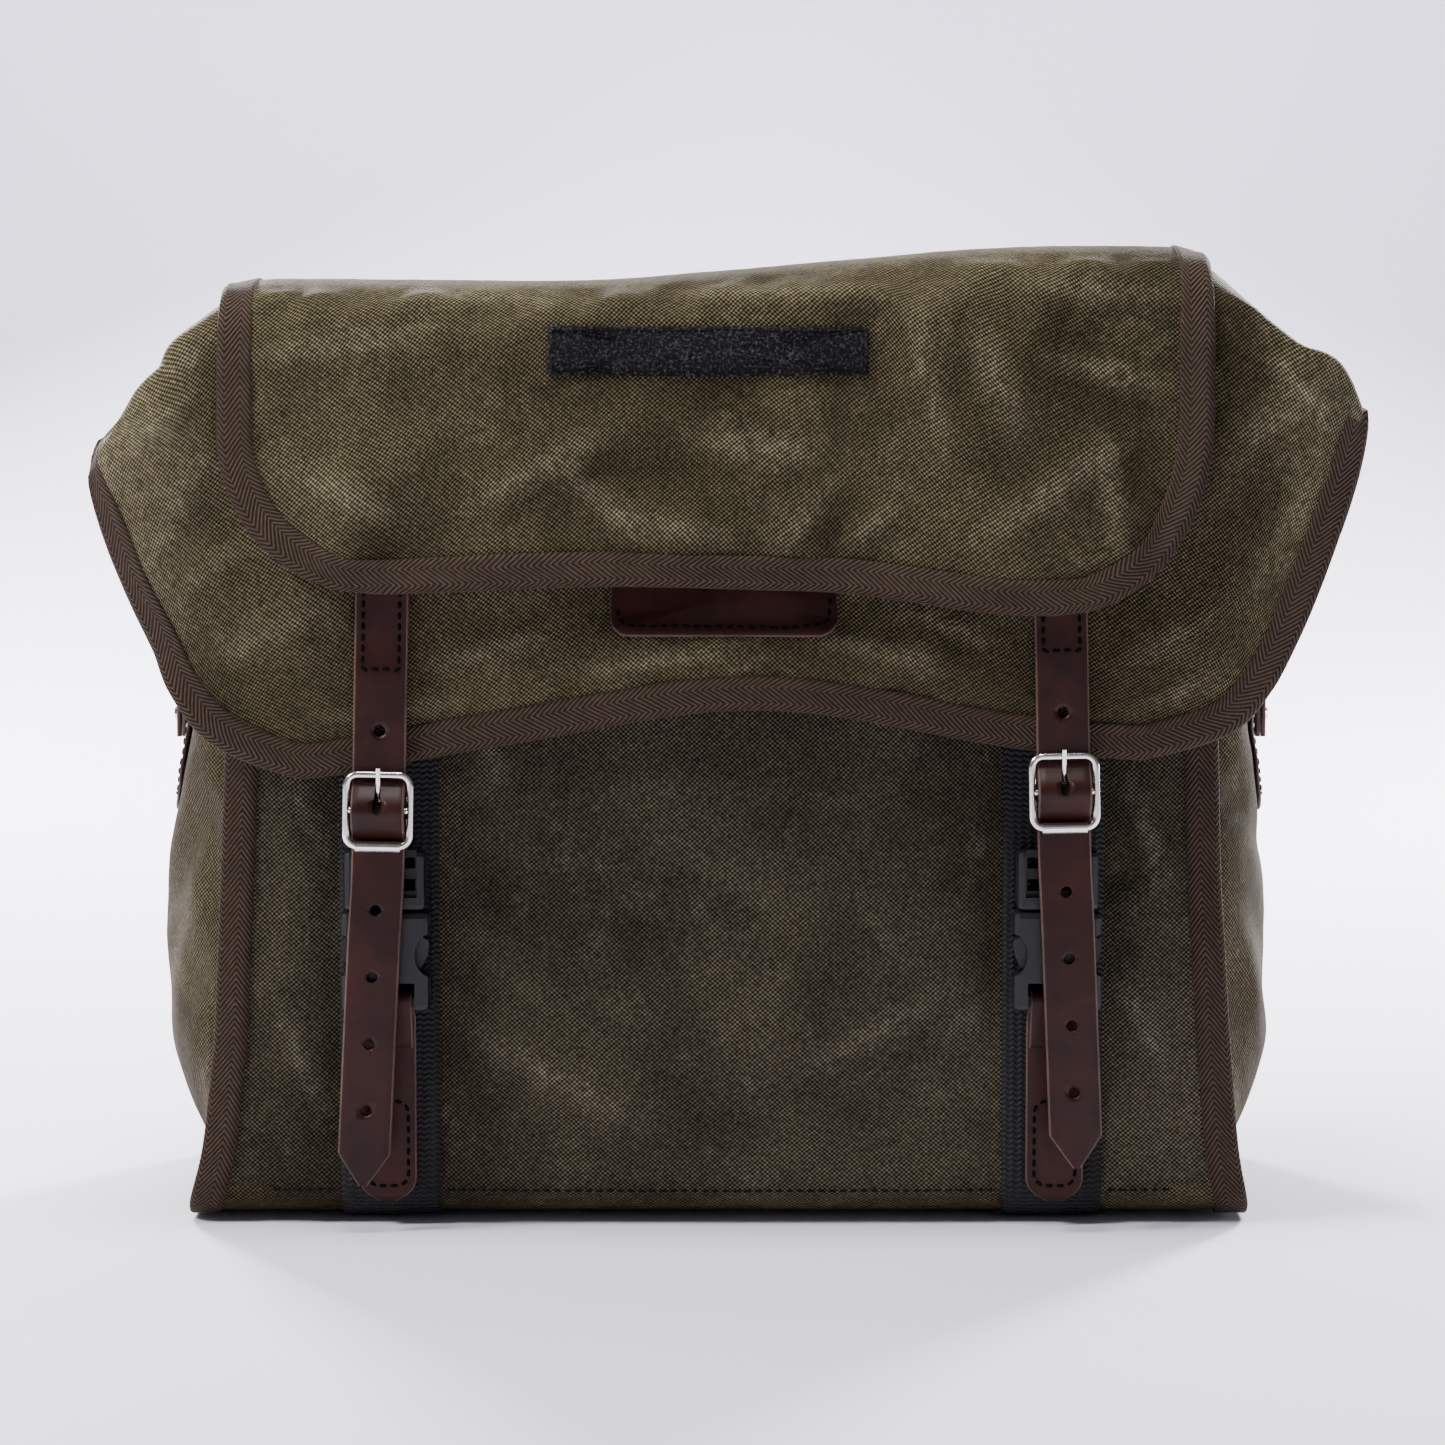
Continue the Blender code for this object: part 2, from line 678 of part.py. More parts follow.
def flap_surface(u, v):
    y, z = (c * MM for c in along([(*p, 0) for p in FLAP_PROFILE], v).to_2d())
    return Vector((flap_half_width(z, y) * (2 * u - 1), y, z))


def row_at_height(surface, z):
    """The share v at which the middle of a surface, past its top, comes down to height z."""
    low, high = 0.55, 1.0
    for _ in range(30):
        middle = (low + high) / 2
        if surface(0.5, middle).z > z:
            low = middle
        else:
            high = middle
    return (low + high) / 2


def patch_on(surface, x0, x1, z0, z1, lift, side):
    """A patch lying on a surface's front, lifted off it along its normal."""
    v0, v1 = row_at_height(surface, z0), row_at_height(surface, z1)

    def patch(u, v):
        row = v0 + (v1 - v0) * v
        x = x0 + (x1 - x0) * u
        low, high = 0.0, 1.0
        for _ in range(26):
            middle = (low + high) / 2
            if surface(middle, row).x < x:
                low = middle
            else:
                high = middle
        at = (low + high) / 2
        return surface(at, row) + outward_normal(surface, at, row, side) * lift

    return patch


def lid():
    points = hemmed(grid_of(lid_surface, 22, 26), TAPE_WIDTH)
    grid_sheet("lid_panel", points, CANVAS, CANVAS_OLIVE)
    grid_tape("lid_binding", points, 7, TAPE_BROWN)
    label_thick, pocket_thick, tape_thick = 2.2 * MM, 1.2 * MM, 1.0 * MM
    lift = CANVAS / 2 + GAP
    label = patch_on(
        lid_surface, -42 * MM, 42 * MM, 252 * MM, 229 * MM, lift + label_thick / 2, -1
    )
    sheet("lid_label", label, 4, 3, label_thick, LEATHER)
    pocket = patch_on(
        lid_surface, -112 * MM, 112 * MM, 336 * MM, 266 * MM, lift + pocket_thick / 2, -1
    )
    sheet("pocket_panel", pocket, 8, 8, pocket_thick, CANVAS_OLIVE)
    tape_lift = lift + pocket_thick + GAP + tape_thick / 2
    tape = patch_on(lid_surface, -60 * MM, 60 * MM, 322 * MM, 305 * MM, tape_lift, -1)
    sheet("pocket_loop_tape", tape, 6, 3, tape_thick, HOOK_LOOP)


def overflap():
    points = hemmed(grid_of(flap_surface, 20, 24), TAPE_WIDTH)
    grid_sheet("overflap_panel", points, CANVAS, CANVAS_OLIVE)
    grid_tape("overflap_binding", points, 1, TAPE_BROWN)
    thick = 1.0 * MM
    lift = CANVAS / 2 + GAP + thick / 2
    outer = patch_on(flap_surface, -65 * MM, 55 * MM, 341 * MM, 323 * MM, lift, -1)
    sheet("patch_strip", outer, 10, 4, thick, HOOK_LOOP)
    hook_thick = 1.4 * MM
    inner_lift = -(CANVAS / 2 + GAP + hook_thick / 2)
    inner = patch_on(flap_surface, -60 * MM, 60 * MM, 321 * MM, 306 * MM, inner_lift, -1)
    sheet("overflap_hook_tape", inner, 6, 3, hook_thick, HOOK_LOOP)


# --- closure straps --------------------------------------------------------------


def strap_y(dz):
    """The strap's middle, dz above the buckle's middle: behind the top bar, over the centre bar
    and behind the roller. It is measured from the flex line, as all of the strap's places are."""
    bar = BUCKLE_HEIGHT / 2 - WIRE_R
    top = WIRE_R + GAP + STRAP_THICK / 2
    over = -(5.2 * MM)
    low = ROLLER_R + GAP + STRAP_THICK / 2
    end = top if dz > 0 else low
    share = min(1.0, abs(dz) / bar)
    return BUCKLE_FROM_FLEX + over + (end - over) * (0.5 - 0.5 * math.cos(math.pi * share))


def strap_rows():
    """Heights of the strap's rows below its flex line, closer together in the buckle."""
    top, tip = 0.0, STRAP_TIP_Z - STRAP_FLEX_Z
    middle = BUCKLE_Z - STRAP_FLEX_Z
    reach = BUCKLE_HEIGHT / 2
    rows = [top, (top + middle + reach) / 2]
    rows += [middle + reach * (1 - step / 11) for step in range(23)]
    straight_end = tip + 10 * MM
    first = middle - reach
    rows += [first + (straight_end - first) * step / 5 for step in range(1, 6)]
    rows += [tip + 5 * MM, tip]
    return rows


def strap_half_width(z):
    from_tip = z - (STRAP_TIP_Z - STRAP_FLEX_Z)
    return STRAP_WIDTH / 2 * min(1.0, 0.12 + 0.88 * from_tip / (10 * MM))


def closure_strap(side, name):
    """The free strap with its buckle, which swings on the strap's flex line."""
    shift = side * STRAP_SHIFT
    hinge = pivot(
        f"strap_{name}_axis",
        (side * STRAP_X, FLEX_Y, STRAP_FLEX_Z + shift),
        (0, -side * STRAP_LEAN, 0),
    )
    rows = strap_rows()
    middle = BUCKLE_Z - STRAP_FLEX_Z

    def surface(u, v):
        z = rows[round(v * (len(rows) - 1))]
        x = strap_half_width(z) * (2 * u - 1)
        return Vector((x, strap_y(z - middle), z))

    strap = sheet(f"strap_{name}", surface, 3, len(rows) - 1, STRAP_THICK, LEATHER, hinge)
    holes = [1, -1, -2, -3, -4]
    for number in holes:
        z = middle + 5.0 * MM + number * HOLE_PITCH
        z -= 3 * MM if number == 1 else 0
        y = strap_y(z - middle)
        boolean(strap, rod_mesh(HOLE_R, 12 * MM, (0, y, z), (0, 1, 0), 12))
    slot = box_mesh((3.1 * MM, 15 * MM, 9.3 * MM), (0, 0, 0))
    slot.transform(Matrix.Rotation(math.radians(-42), 4, "X"))
    slot.transform(Matrix.Translation((0, BUCKLE_FROM_FLEX - 1.4 * MM, middle + 6.8 * MM)))
    boolean(strap, slot)

    buckle_frame(hinge, name, middle)
    buckle_link(hinge, name, middle)
    buckle_pin(hinge, name, middle)
    buckle_roller(hinge, name, middle)


def rounded_loop(width, height, radius, steps=4):
    """A closed rounded rectangle in the XZ plane."""
    points = []
    for cx, cz, start in ((1, 1, 0), (-1, 1, 90), (-1, -1, 180), (1, -1, 270)):
        centre = Vector((cx * (width / 2 - radius), 0, cz * (height / 2 - radius)))
        for step in range(steps + 1):
            angle = math.radians(start + 90 * step / steps)
            points.append(centre + Vector((math.cos(angle), 0, math.sin(angle))) * radius)
    return points


def buckle_frame(parent, name, middle):
    loop = rounded_loop(BUCKLE_WIDTH - 2 * WIRE_R, BUCKLE_HEIGHT - 2 * WIRE_R, 4 * MM)
    centre = Vector((0, BUCKLE_FROM_FLEX, middle))
    points = [centre + p for p in loop]
    frame = wire(f"buckle_frame_{name}", points, WIRE_R, NICKEL, True, parent, 3)
    length = BUCKLE_WIDTH - 2 * WIRE_R
    boolean(frame, rod_mesh(BAR_R, length, centre, (1, 0, 0), 16), "UNION")


def buckle_link(parent, name, middle):
    """A leather loop folded round the centre bar, whose doubled end reaches down to the clip."""
    width = 17 * MM
    radius = BAR_R + GAP + 1.5 * MM
    arc = [math.radians(-35 + 320 * step / 14) for step in range(15)]
    profile = [(radius * math.cos(a), radius * math.sin(a)) for a in arc]
    # The doubled end, as (y, z) in millimetres from the bar: its front face down, its back face up.
    tail = [(2.6, -5.0), (6.6, -12.6), (7.1, -16.5), (7.1, -27.5)]
    tail += [(9.9, -27.5), (9.9, -15.5), (9.0, -11.2), (5.6, -4.4)]
    profile += [(y * MM, z * MM) for y, z in tail]
    curve = bpy.data.curves.new(f"buckle_link_{name}", "CURVE")
    curve.dimensions = "2D"
    curve.fill_mode = "BOTH"
    curve.extrude = width / 2
    spline = curve.splines.new("POLY")
    spline.points.add(len(profile) - 1)
    for slot, (y, z) in zip(spline.points, profile):
        slot.co = (y, z, 0, 1)
    spline.use_cyclic_u = True
    maker = bpy.data.objects.new("link_outline", curve)
    bpy.context.scene.collection.objects.link(maker)
    bpy.context.view_layer.update()
    graph = bpy.context.evaluated_depsgraph_get()
    mesh = bpy.data.meshes.new_from_object(maker.evaluated_get(graph))
    bpy.data.objects.remove(maker)
    turn = Matrix(((0, 0, 1, 0), (1, 0, 0, 0), (0, 1, 0, 0), (0, 0, 0, 1)))
    mesh.transform(Matrix.Translation((0, BUCKLE_FROM_FLEX, middle)) @ turn)
    bm = bmesh.new()
    bm.from_mesh(mesh)
    bmesh.ops.remove_doubles(bm, verts=bm.verts, dist=0.01 * MM)
    link = place(f"buckle_link_{name}", mesh_from(bm, "link"), LEATHER, parent)
    centre = (0, BUCKLE_FROM_FLEX, middle)
    boolean(link, rod_mesh(BAR_R + GAP, 2 * width, centre, (1, 0, 0), 16))
    notch = (0, BUCKLE_FROM_FLEX - 0.4 * MM, middle + 1.2 * MM)
    boolean(link, box_mesh((3.4 * MM, 9 * MM, 9 * MM), notch))


def buckle_pin(parent, name, middle):
    """The tongue: an eye round the centre bar and a rod that rests on the top bar."""
    rod_r = 0.95 * MM
    eye_r = BAR_R + 0.15 * MM + rod_r
    hinge = pivot(f"buckle_pin_{name}_axis", (0, BUCKLE_FROM_FLEX, middle))
    hinge.parent = parent
    bm_mesh = torus_mesh(eye_r, rod_r)
    pin = place(f"buckle_pin_{name}", bm_mesh, NICKEL, hinge)
    start = Vector((0, -0.5 * MM, 1.9 * MM))
    tip = Vector((0, -3.35 * MM, 16.3 * MM))
    rod = rod_mesh(
        rod_r, (tip - start).length, (start + tip) / 2, tip - start, 12, 0.8 * MM
    )
    boolean(pin, rod, "UNION")


def torus_mesh(major, minor):
    bpy.ops.mesh.primitive_torus_add(
        major_radius=major, minor_radius=minor, major_segments=20, minor_segments=10
    )
    ring = bpy.context.object
    mesh = ring.data
    bpy.data.objects.remove(ring)
    mesh.transform(Matrix.Rotation(math.radians(90), 4, "Y"))
    mesh.shade_smooth()
    return mesh


def buckle_roller(parent, name, middle):
    """A tube that turns on the buckle's lower bar."""
    low = middle - BUCKLE_HEIGHT / 2 + WIRE_R
    hinge = pivot(f"buckle_roller_{name}_axis", (0, BUCKLE_FROM_FLEX, low))
    hinge.parent = parent
    length = BUCKLE_WIDTH - 4 * WIRE_R - 4.4 * MM
    tube = place(
        f"buckle_roller_{name}", rod_mesh(ROLLER_R, length, (0, 0, 0), (1, 0, 0), 20), NICKEL, hinge
    )
    boolean(tube, rod_mesh(WIRE_R + 0.2 * MM, 2 * length, (0, 0, 0), (1, 0, 0), 20))


def strap_anchor(side, name):
    """The stitched end of the strap, on the lid, down to the flex line."""
    shift = side * STRAP_SHIFT
    top = 250 * MM
    hinge = pivot(
        f"strap_anchor_{name}_place",
        (side * STRAP_X, 0, STRAP_FLEX_Z + shift),
        (0, -side * STRAP_LEAN, 0),
    )
    height = top - STRAP_FLEX_Z
    y = LID_Y - CANVAS / 2 - GAP - STRAP_THICK / 2
    centre = (0, y, GAP + height / 2)
    anchor = place(
        f"strap_anchor_{name}", box_mesh((STRAP_WIDTH, STRAP_THICK, height), centre), LEATHER, hinge
    )
    bevel(anchor, 0.5 * MM, 1)


# --- clips and their anchor tabs -------------------------------------------------


def clip_socket(side, name):
    """The lower half of the side-release clip, with its mouth up and the tab's bar at its foot."""
    x = side * CLIP_X
    height = SOCKET_TOP_Z - SOCKET_LOW_Z
    centre_z = (SOCKET_TOP_Z + SOCKET_LOW_Z) / 2
    body = place(
        f"clip_socket_{name}",
        box_mesh((CLIP_WIDTH, CLIP_THICK, height), (x, CLIP_Y, centre_z)),
        PLASTIC,
    )
    bevel(body, 2.6 * MM, 2)
    floor_z = 96.5 * MM
    cavity_height = SOCKET_TOP_Z - floor_z + 6 * MM
    boolean(
        body, box_mesh((28.6 * MM, 7.6 * MM, cavity_height), (x, CLIP_Y, floor_z + cavity_height / 2))
    )
    boolean(
        body, box_mesh((CLIP_WIDTH + 6 * MM, 7.6 * MM, 14 * MM), (x, CLIP_Y, 105.5 * MM))
    )
    boolean(body, box_mesh((22.4 * MM, 40 * MM, 5.8 * MM), (x, CLIP_Y, 90.9 * MM)))
    boolean(body, box_mesh((22.4 * MM, 40 * MM, 4 * MM), (x, CLIP_Y, 82.6 * MM)))
    for facing in (-1, 1):
        cut = (x, CLIP_Y + facing * 5.7 * MM, 85.5 * MM)
        boolean(body, box_mesh((22.4 * MM, 8 * MM, 9 * MM), cut))


def clip_plug(side, name):
    """The upper half: side rails and ladder bars for the link, and the guide between the arms."""
    x = side * CLIP_X
    low = SOCKET_TOP_Z + GAP
    height = PLUG_TOP_Z - low
    body = place(
        f"clip_plug_{name}",
        box_mesh((31 * MM, 11.4 * MM, height), (x, CLIP_Y, low + height / 2)),
        PLASTIC,
    )
    bevel(body, 2.2 * MM, 2)
    boolean(body, box_mesh((24.4 * MM, 8 * MM, 40 * MM), (x, CLIP_Y - 6.2 * MM, low + 25 * MM)))
    for slot_z, slot_height in ((139.2, 4.2), (130.8, 4.6)):
        boolean(body, box_mesh((23 * MM, 30 * MM, slot_height * MM), (x, CLIP_Y, slot_z * MM)))
    guide_low = 100 * MM
    guide = box_mesh(
        (6 * MM, 5 * MM, low + 3 * MM - guide_low), (x, CLIP_Y, (guide_low + low + 3 * MM) / 2)
    )
    boolean(body, guide, "UNION")


def clip_arm(side, name, outward):
    """One spring arm of the plug. Its latch stands out through the socket's window."""
    root_x, root_z = 10.8 * MM, SOCKET_TOP_Z - 0.7 * MM
    hinge = pivot(
        f"clip_arm_{name}_axis", (side * CLIP_X + outward * root_x, CLIP_Y, root_z)
    )
    # Outline from the arm's root, as (outward, up) in millimetres.
    outline = [
        (-1.6, 0.4), (1.6, 0.4), (2.2, -6.0), (3.4, -9.4), (5.4, -10.2), (5.9, -12.0),
        (5.2, -16.5), (3.0, -20.6), (0.6, -21.4), (-0.8, -19.0), (-1.4, -10.0),
    ]
    curve = bpy.data.curves.new(f"clip_arm_{name}", "CURVE")
    curve.dimensions = "2D"
    curve.fill_mode = "BOTH"
    curve.extrude = 3.2 * MM
    spline = curve.splines.new("POLY")
    spline.points.add(len(outline) - 1)
    for slot, (out, up) in zip(spline.points, outline):
        slot.co = (out * MM, up * MM, 0, 1)
    spline.use_cyclic_u = True
    maker = bpy.data.objects.new("arm_outline", curve)
    bpy.context.scene.collection.objects.link(maker)
    bpy.context.view_layer.update()
    graph = bpy.context.evaluated_depsgraph_get()
    mesh = bpy.data.meshes.new_from_object(maker.evaluated_get(graph))
    bpy.data.objects.remove(maker)
    turn = Matrix(((outward, 0, 0, 0), (0, 0, -1, 0), (0, 1, 0, 0), (0, 0, 0, 1)))
    mesh.transform(turn)
    bm = bmesh.new()
    bm.from_mesh(mesh)
    bmesh.ops.remove_doubles(bm, verts=bm.verts, dist=0.01 * MM)
    place(f"clip_arm_{name}", mesh_from(bm, "arm"), PLASTIC, hinge)


def anchor_tab(side, name):
    """Leather sewn low on the webbing, folded round the socket's bar and riveted."""
    leather = 2.0 * MM
    web_face = FRONT_Y - CANVAS / 2 - GAP - WEB_THICK
    flat_y = web_face - GAP - leather / 2
    bar_y, bar_z, turn = CLIP_Y, 86.3 * MM, 3.6 * MM
    route = [(flat_y, 10), (flat_y, 30), (flat_y, 50), (flat_y, 66), (-75.6 * MM, 75)]
    route = [Vector((0, y, z * MM)) for y, z in route]
    for step in range(9):
        angle = math.radians(-10 + 200 * step / 8)
        offset = Vector((0, math.cos(angle), math.sin(angle))) * turn
        route.append(Vector((0, bar_y, bar_z)) + offset)
    route += [Vector((0, y * MM, z * MM)) for y, z in ((-80.6, 78.5), (-78.4, 74.5), (-77.6, 69))]

    def surface(u, v):
        point = route[round(v * (len(route) - 1))]
        low = smooth((point.z - 9 * MM) / (7 * MM)) if v < 0.3 else 1.0
        half = 10.2 * MM * (0.45 + 0.55 * math.sqrt(low))
        return Vector((side * CLIP_X + half * (2 * u - 1), point.y, point.z))

    sheet(f"anchor_tab_{name}", surface, 2, len(route) - 1, leather, LEATHER)
    cap = rod_mesh(3.4 * MM, 1.2 * MM, (side * CLIP_X, -81.5 * MM, 74.0 * MM), (0, -1, -0.4), 16, 2 * MM)
    place(f"anchor_rivet_{name}", cap, NICKEL)


def main():
    bag_panels()
    seam_bindings()
    mouth_bindings()
    boards()
    webbings()
    rack_loops()
    side_rings()
    lid()
    overflap()
    for side, name in ((-1, "left"), (1, "right")):
        strap_anchor(side, name)
        closure_strap(side, name)
        anchor_tab(side, name)
        clip_socket(side, name)
        clip_plug(side, name)
        clip_arm(side, f"{name}_outer", side)
        clip_arm(side, f"{name}_inner", -side)


main()
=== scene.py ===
import math

import bmesh
import bpy
import numpy as np
from mathutils import Matrix, Vector, noise
from mathutils.bvhtree import BVHTree


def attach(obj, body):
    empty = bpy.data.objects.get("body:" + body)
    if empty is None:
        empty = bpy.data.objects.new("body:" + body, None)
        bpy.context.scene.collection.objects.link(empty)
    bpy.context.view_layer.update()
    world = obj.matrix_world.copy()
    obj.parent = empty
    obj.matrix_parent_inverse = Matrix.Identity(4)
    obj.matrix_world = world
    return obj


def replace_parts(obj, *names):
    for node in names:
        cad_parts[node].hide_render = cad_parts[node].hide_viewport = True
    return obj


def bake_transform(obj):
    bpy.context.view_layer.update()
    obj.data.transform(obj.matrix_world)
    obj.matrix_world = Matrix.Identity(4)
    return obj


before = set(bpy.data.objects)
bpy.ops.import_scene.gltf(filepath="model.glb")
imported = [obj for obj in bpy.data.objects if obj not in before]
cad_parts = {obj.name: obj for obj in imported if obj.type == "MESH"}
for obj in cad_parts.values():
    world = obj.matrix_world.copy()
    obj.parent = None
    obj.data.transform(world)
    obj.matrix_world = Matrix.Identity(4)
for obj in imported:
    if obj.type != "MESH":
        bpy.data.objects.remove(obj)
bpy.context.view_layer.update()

MM = 0.001
SIDES = ((-1, "left"), (1, "right"))


# --- numbers --------------------------------------------------------------------------


def smooth(t):
    t = min(1.0, max(0.0, t))
    return t * t * (3 - 2 * t)


def bell(x, middle, width):
    return math.exp(-(((x - middle) / width) ** 2))


def along(points, t):
    """A point at share t of a Catmull-Rom curve through points."""
    points = np.asarray(points, float)
    at = min(max(t, 0.0), 1.0) * (len(points) - 1)
    i = min(int(at), len(points) - 2)
    f = at - i
    p0, p1 = points[max(i - 1, 0)], points[i]
    p2, p3 = points[i + 1], points[min(i + 2, len(points) - 1)]
    return 0.5 * (
        2 * p1
        + (p2 - p0) * f
        + (2 * p0 - 5 * p1 + 4 * p2 - p3) * f * f
        + (3 * p1 - p0 - 3 * p2 + p3) * f**3
    )


def fbm(p, scale, octaves=3, seed=0.0):
    v = Vector((p[0] / scale + seed, p[1] / scale - seed, p[2] / scale + 2 * seed))
    total, size = 0.0, 1.0
    for _ in range(octaves):
        total += size * noise.noise(v)
        v = v * 2.03
        size *= 0.5
    return total


# --- materials ------------------------------------------------------------------------


class Nodes:
    """A short way to write a material's node tree."""

    def __init__(self, name):
        self.material = bpy.data.materials.new(name)
        self.material.use_nodes = True
        self.tree = self.material.node_tree
        self.shader = self.tree.nodes["Principled BSDF"]

    def add(self, kind, **inputs):
        node = self.tree.nodes.new(kind)
        for key, value in inputs.items():
            self.put(node, key.replace("_", " "), value)
        return node

    def put(self, node, key, value):
        socket = node.inputs[int(key)] if key.isdigit() else node.inputs[key]
        if isinstance(value, bpy.types.NodeSocket):
            self.tree.links.new(value, socket)
        else:
            socket.default_value = value

    def math(self, operation, a, b=0.0, c=0.0):
        node = self.tree.nodes.new("ShaderNodeMath")
        node.operation = operation
        for index, value in enumerate((a, b, c)):
            self.put(node, str(index), value)
        return node.outputs[0]

    def times(self, a, b):
        return self.math("MULTIPLY", a, b)

    def plus(self, a, b):
        return self.math("ADD", a, b)

    def fit(self, value, scale, start):
        """value * scale + start"""
        return self.math("MULTIPLY_ADD", value, scale, start)

    def step(self, value, low, high):
        """0 below low, 1 above high."""
        return self.ramp(value, [(low, 0.0), (high, 1.0)])

    def noise(self, scale, detail, rough, distortion=0.0):
        node = self.add("ShaderNodeTexNoise", Scale=scale, Detail=detail, Roughness=rough)
        node.inputs["Distortion"].default_value = distortion
        self.tree.links.new(self.place(), node.inputs["Vector"])
        return node.outputs["Fac"]

    def place(self):
        return self.add("ShaderNodeTexCoord").outputs["Object"]

    def uv(self):
        node = self.add("ShaderNodeSeparateXYZ")
        self.tree.links.new(self.add("ShaderNodeTexCoord").outputs["UV"], node.inputs[0])
        return node.outputs[0], node.outputs[1]

    def ramp(self, value, stops):
        node = self.tree.nodes.new("ShaderNodeValToRGB")
        self.tree.links.new(value, node.inputs[0])
        while len(node.color_ramp.elements) < len(stops):
            node.color_ramp.elements.new(0.5)
        for element, (at, colour) in zip(node.color_ramp.elements, stops):
            element.position = at
            element.color = (*colour, 1.0) if hasattr(colour, "__len__") else (colour,) * 3 + (1.0,)
        return node.outputs[0]

    def mix(self, factor, a, b, mode="MIX"):
        node = self.tree.nodes.new("ShaderNodeMix")
        node.data_type = "RGBA"
        node.blend_type = mode
        self.put(node, "0", factor)
        for index, value in (("6", a), ("7", b)):
            value = value if isinstance(value, bpy.types.NodeSocket) else (*value, 1.0)
            self.put(node, index, value)
        return node.outputs[2]

    def bump(self, height, distance, strength=1.0, normal=None):
        node = self.add("ShaderNodeBump", Height=height, Strength=strength, Distance=distance)
        if normal is not None:
            self.tree.links.new(normal, node.inputs["Normal"])
        return node.outputs[0]

    def attribute(self, name):
        node = self.tree.nodes.new("ShaderNodeAttribute")
        node.attribute_name = name
        return node.outputs["Fac"]

    def finish(self, colour, roughness, normal=None, **values):
        self.put(self.shader, "Base Color", colour)
        self.put(self.shader, "Roughness", roughness)
        if normal is not None:
            self.tree.links.new(normal, self.shader.inputs["Normal"])
        for key, value in values.items():
            self.shader.inputs[key.replace("_", " ")].default_value = value
        return self.material


def waves(n, value, pitch, shift=0.0):
    return n.math("SINE", n.fit(value, 2 * math.pi / pitch, shift))


def corrugated(n, value, pitch):
    """Waves between 0 and 1."""
    return n.fit(waves(n, value, pitch), 0.5, 0.5)


def canvas_material(name, dark, mid, pale):
    """Waxed plain-weave canvas: a fine weave with painted shade between the threads and paler crossings,
    blotchy wax, pale scuffs where it creases, and the painted highlight that the crease-wear attribute also
    carries on the lid's wings.
    """
    n = Nodes(name)
    u, v = n.uv()
    wander = n.fit(n.noise(60, 2, 0.5), 1.2, -0.6)
    weave = n.times(waves(n, u, 1.9 * MM, wander), waves(n, v, 1.75 * MM, wander))
    weave = n.fit(weave, 0.5, 0.5)
    slub = n.noise(620, 2, 0.6)
    blotch = n.noise(9, 4, 0.6, distortion=0.4)
    cloud = n.noise(38, 4, 0.65, distortion=0.8)
    streak = n.noise(110, 5, 0.7, distortion=1.4)
    # The wear attribute holds pale crease wear, and on the lid's wings a painted highlight.
    wear_and_highlight = n.attribute("wear_and_highlight")
    base = n.ramp(blotch, [(0.34, dark), (0.66, mid)])
    scuff = n.times(n.step(cloud, 0.50, 0.72), n.step(streak, 0.42, 0.66))
    scuff = n.times(scuff, 0.22)
    worn = n.times(wear_and_highlight, n.fit(n.step(streak, 0.34, 0.62), 0.75, 0.25))
    amount = n.math("MINIMUM", n.plus(scuff, worn), 0.85)
    base = n.mix(amount, base, pale)
    # Painted shade between the threads and paler thread crossings, scaled by the slub's tone, multiplied
    # into the colour.
    shade = n.fit(n.times(weave, weave), 2.5, 0.12)
    shade = n.times(shade, n.fit(slub, 2.0, 0.02))
    grey = n.add("ShaderNodeCombineColor")
    for channel in "012":
        n.put(grey, channel, shade)
    colour = n.mix(1.0, base, grey.outputs[0], "MULTIPLY")
    rough = n.fit(cloud, 0.30, 0.46)
    height = n.plus(n.times(weave, 0.7), n.times(slub, 0.5))
    normal = n.bump(cloud, 1.4 * MM, 0.5)
    normal = n.bump(height, 0.75 * MM, 1.0, normal)
    return n.finish(colour, rough, normal, Specular_IOR_Level=0.09, IOR=1.3)


def tape_material():
    """Herringbone cotton tape: two columns of slanted ribs that meet in a point, with a painted highlight on
    the rib crests.
    """
    n = Nodes("herringbone_tape")
    u, v = n.uv()
    column = n.math("PINGPONG", v, 5.9 * MM)
    slant = n.fit(column, 1.35, u)
    ribs = corrugated(n, slant, 2.35 * MM)
    threads = corrugated(n, n.math("SUBTRACT", u, column), 0.62 * MM)
    fuzz = n.noise(420, 3, 0.6)
    worn = n.noise(60, 3, 0.6)
    body = n.mix(n.step(worn, 0.35, 0.75), (0.0065, 0.0032, 0.0018), (0.0120, 0.0062, 0.0036))
    # Rib crests painted paler than the tape body: painted highlight on the ribs.
    tape_with_painted_highlight = n.mix(n.times(ribs, n.fit(fuzz, 0.9, 0.35)), body, (0.098, 0.062, 0.039))
    height = n.plus(ribs, n.times(threads, 0.2))
    normal = n.bump(height, 0.55 * MM, 1.0)
    return n.finish(tape_with_painted_highlight, 0.82, normal, Specular_IOR_Level=0.2)


def leather_material(name, dark, mid, rough):
    n = Nodes(name)
    tone = n.noise(45, 4, 0.6, distortion=0.5)
    fine = n.noise(900, 3, 0.6)
    pores = n.add("ShaderNodeTexVoronoi", Scale=1500.0)
    n.tree.links.new(n.place(), pores.inputs["Vector"])
    colour = n.mix(n.step(tone, 0.3, 0.72), dark, mid)
    height = n.plus(n.times(fine, 0.6), n.times(pores.outputs["Distance"], 0.35))
    normal = n.bump(n.noise(90, 3, 0.5), 0.5 * MM, 0.3)
    normal = n.bump(height, 0.06 * MM, 0.7, normal)
    gloss = n.fit(tone, 0.22, rough - 0.1)
    return n.finish(colour, gloss, normal, Specular_IOR_Level=0.17, Coat_Weight=0.03, Coat_Roughness=0.22)


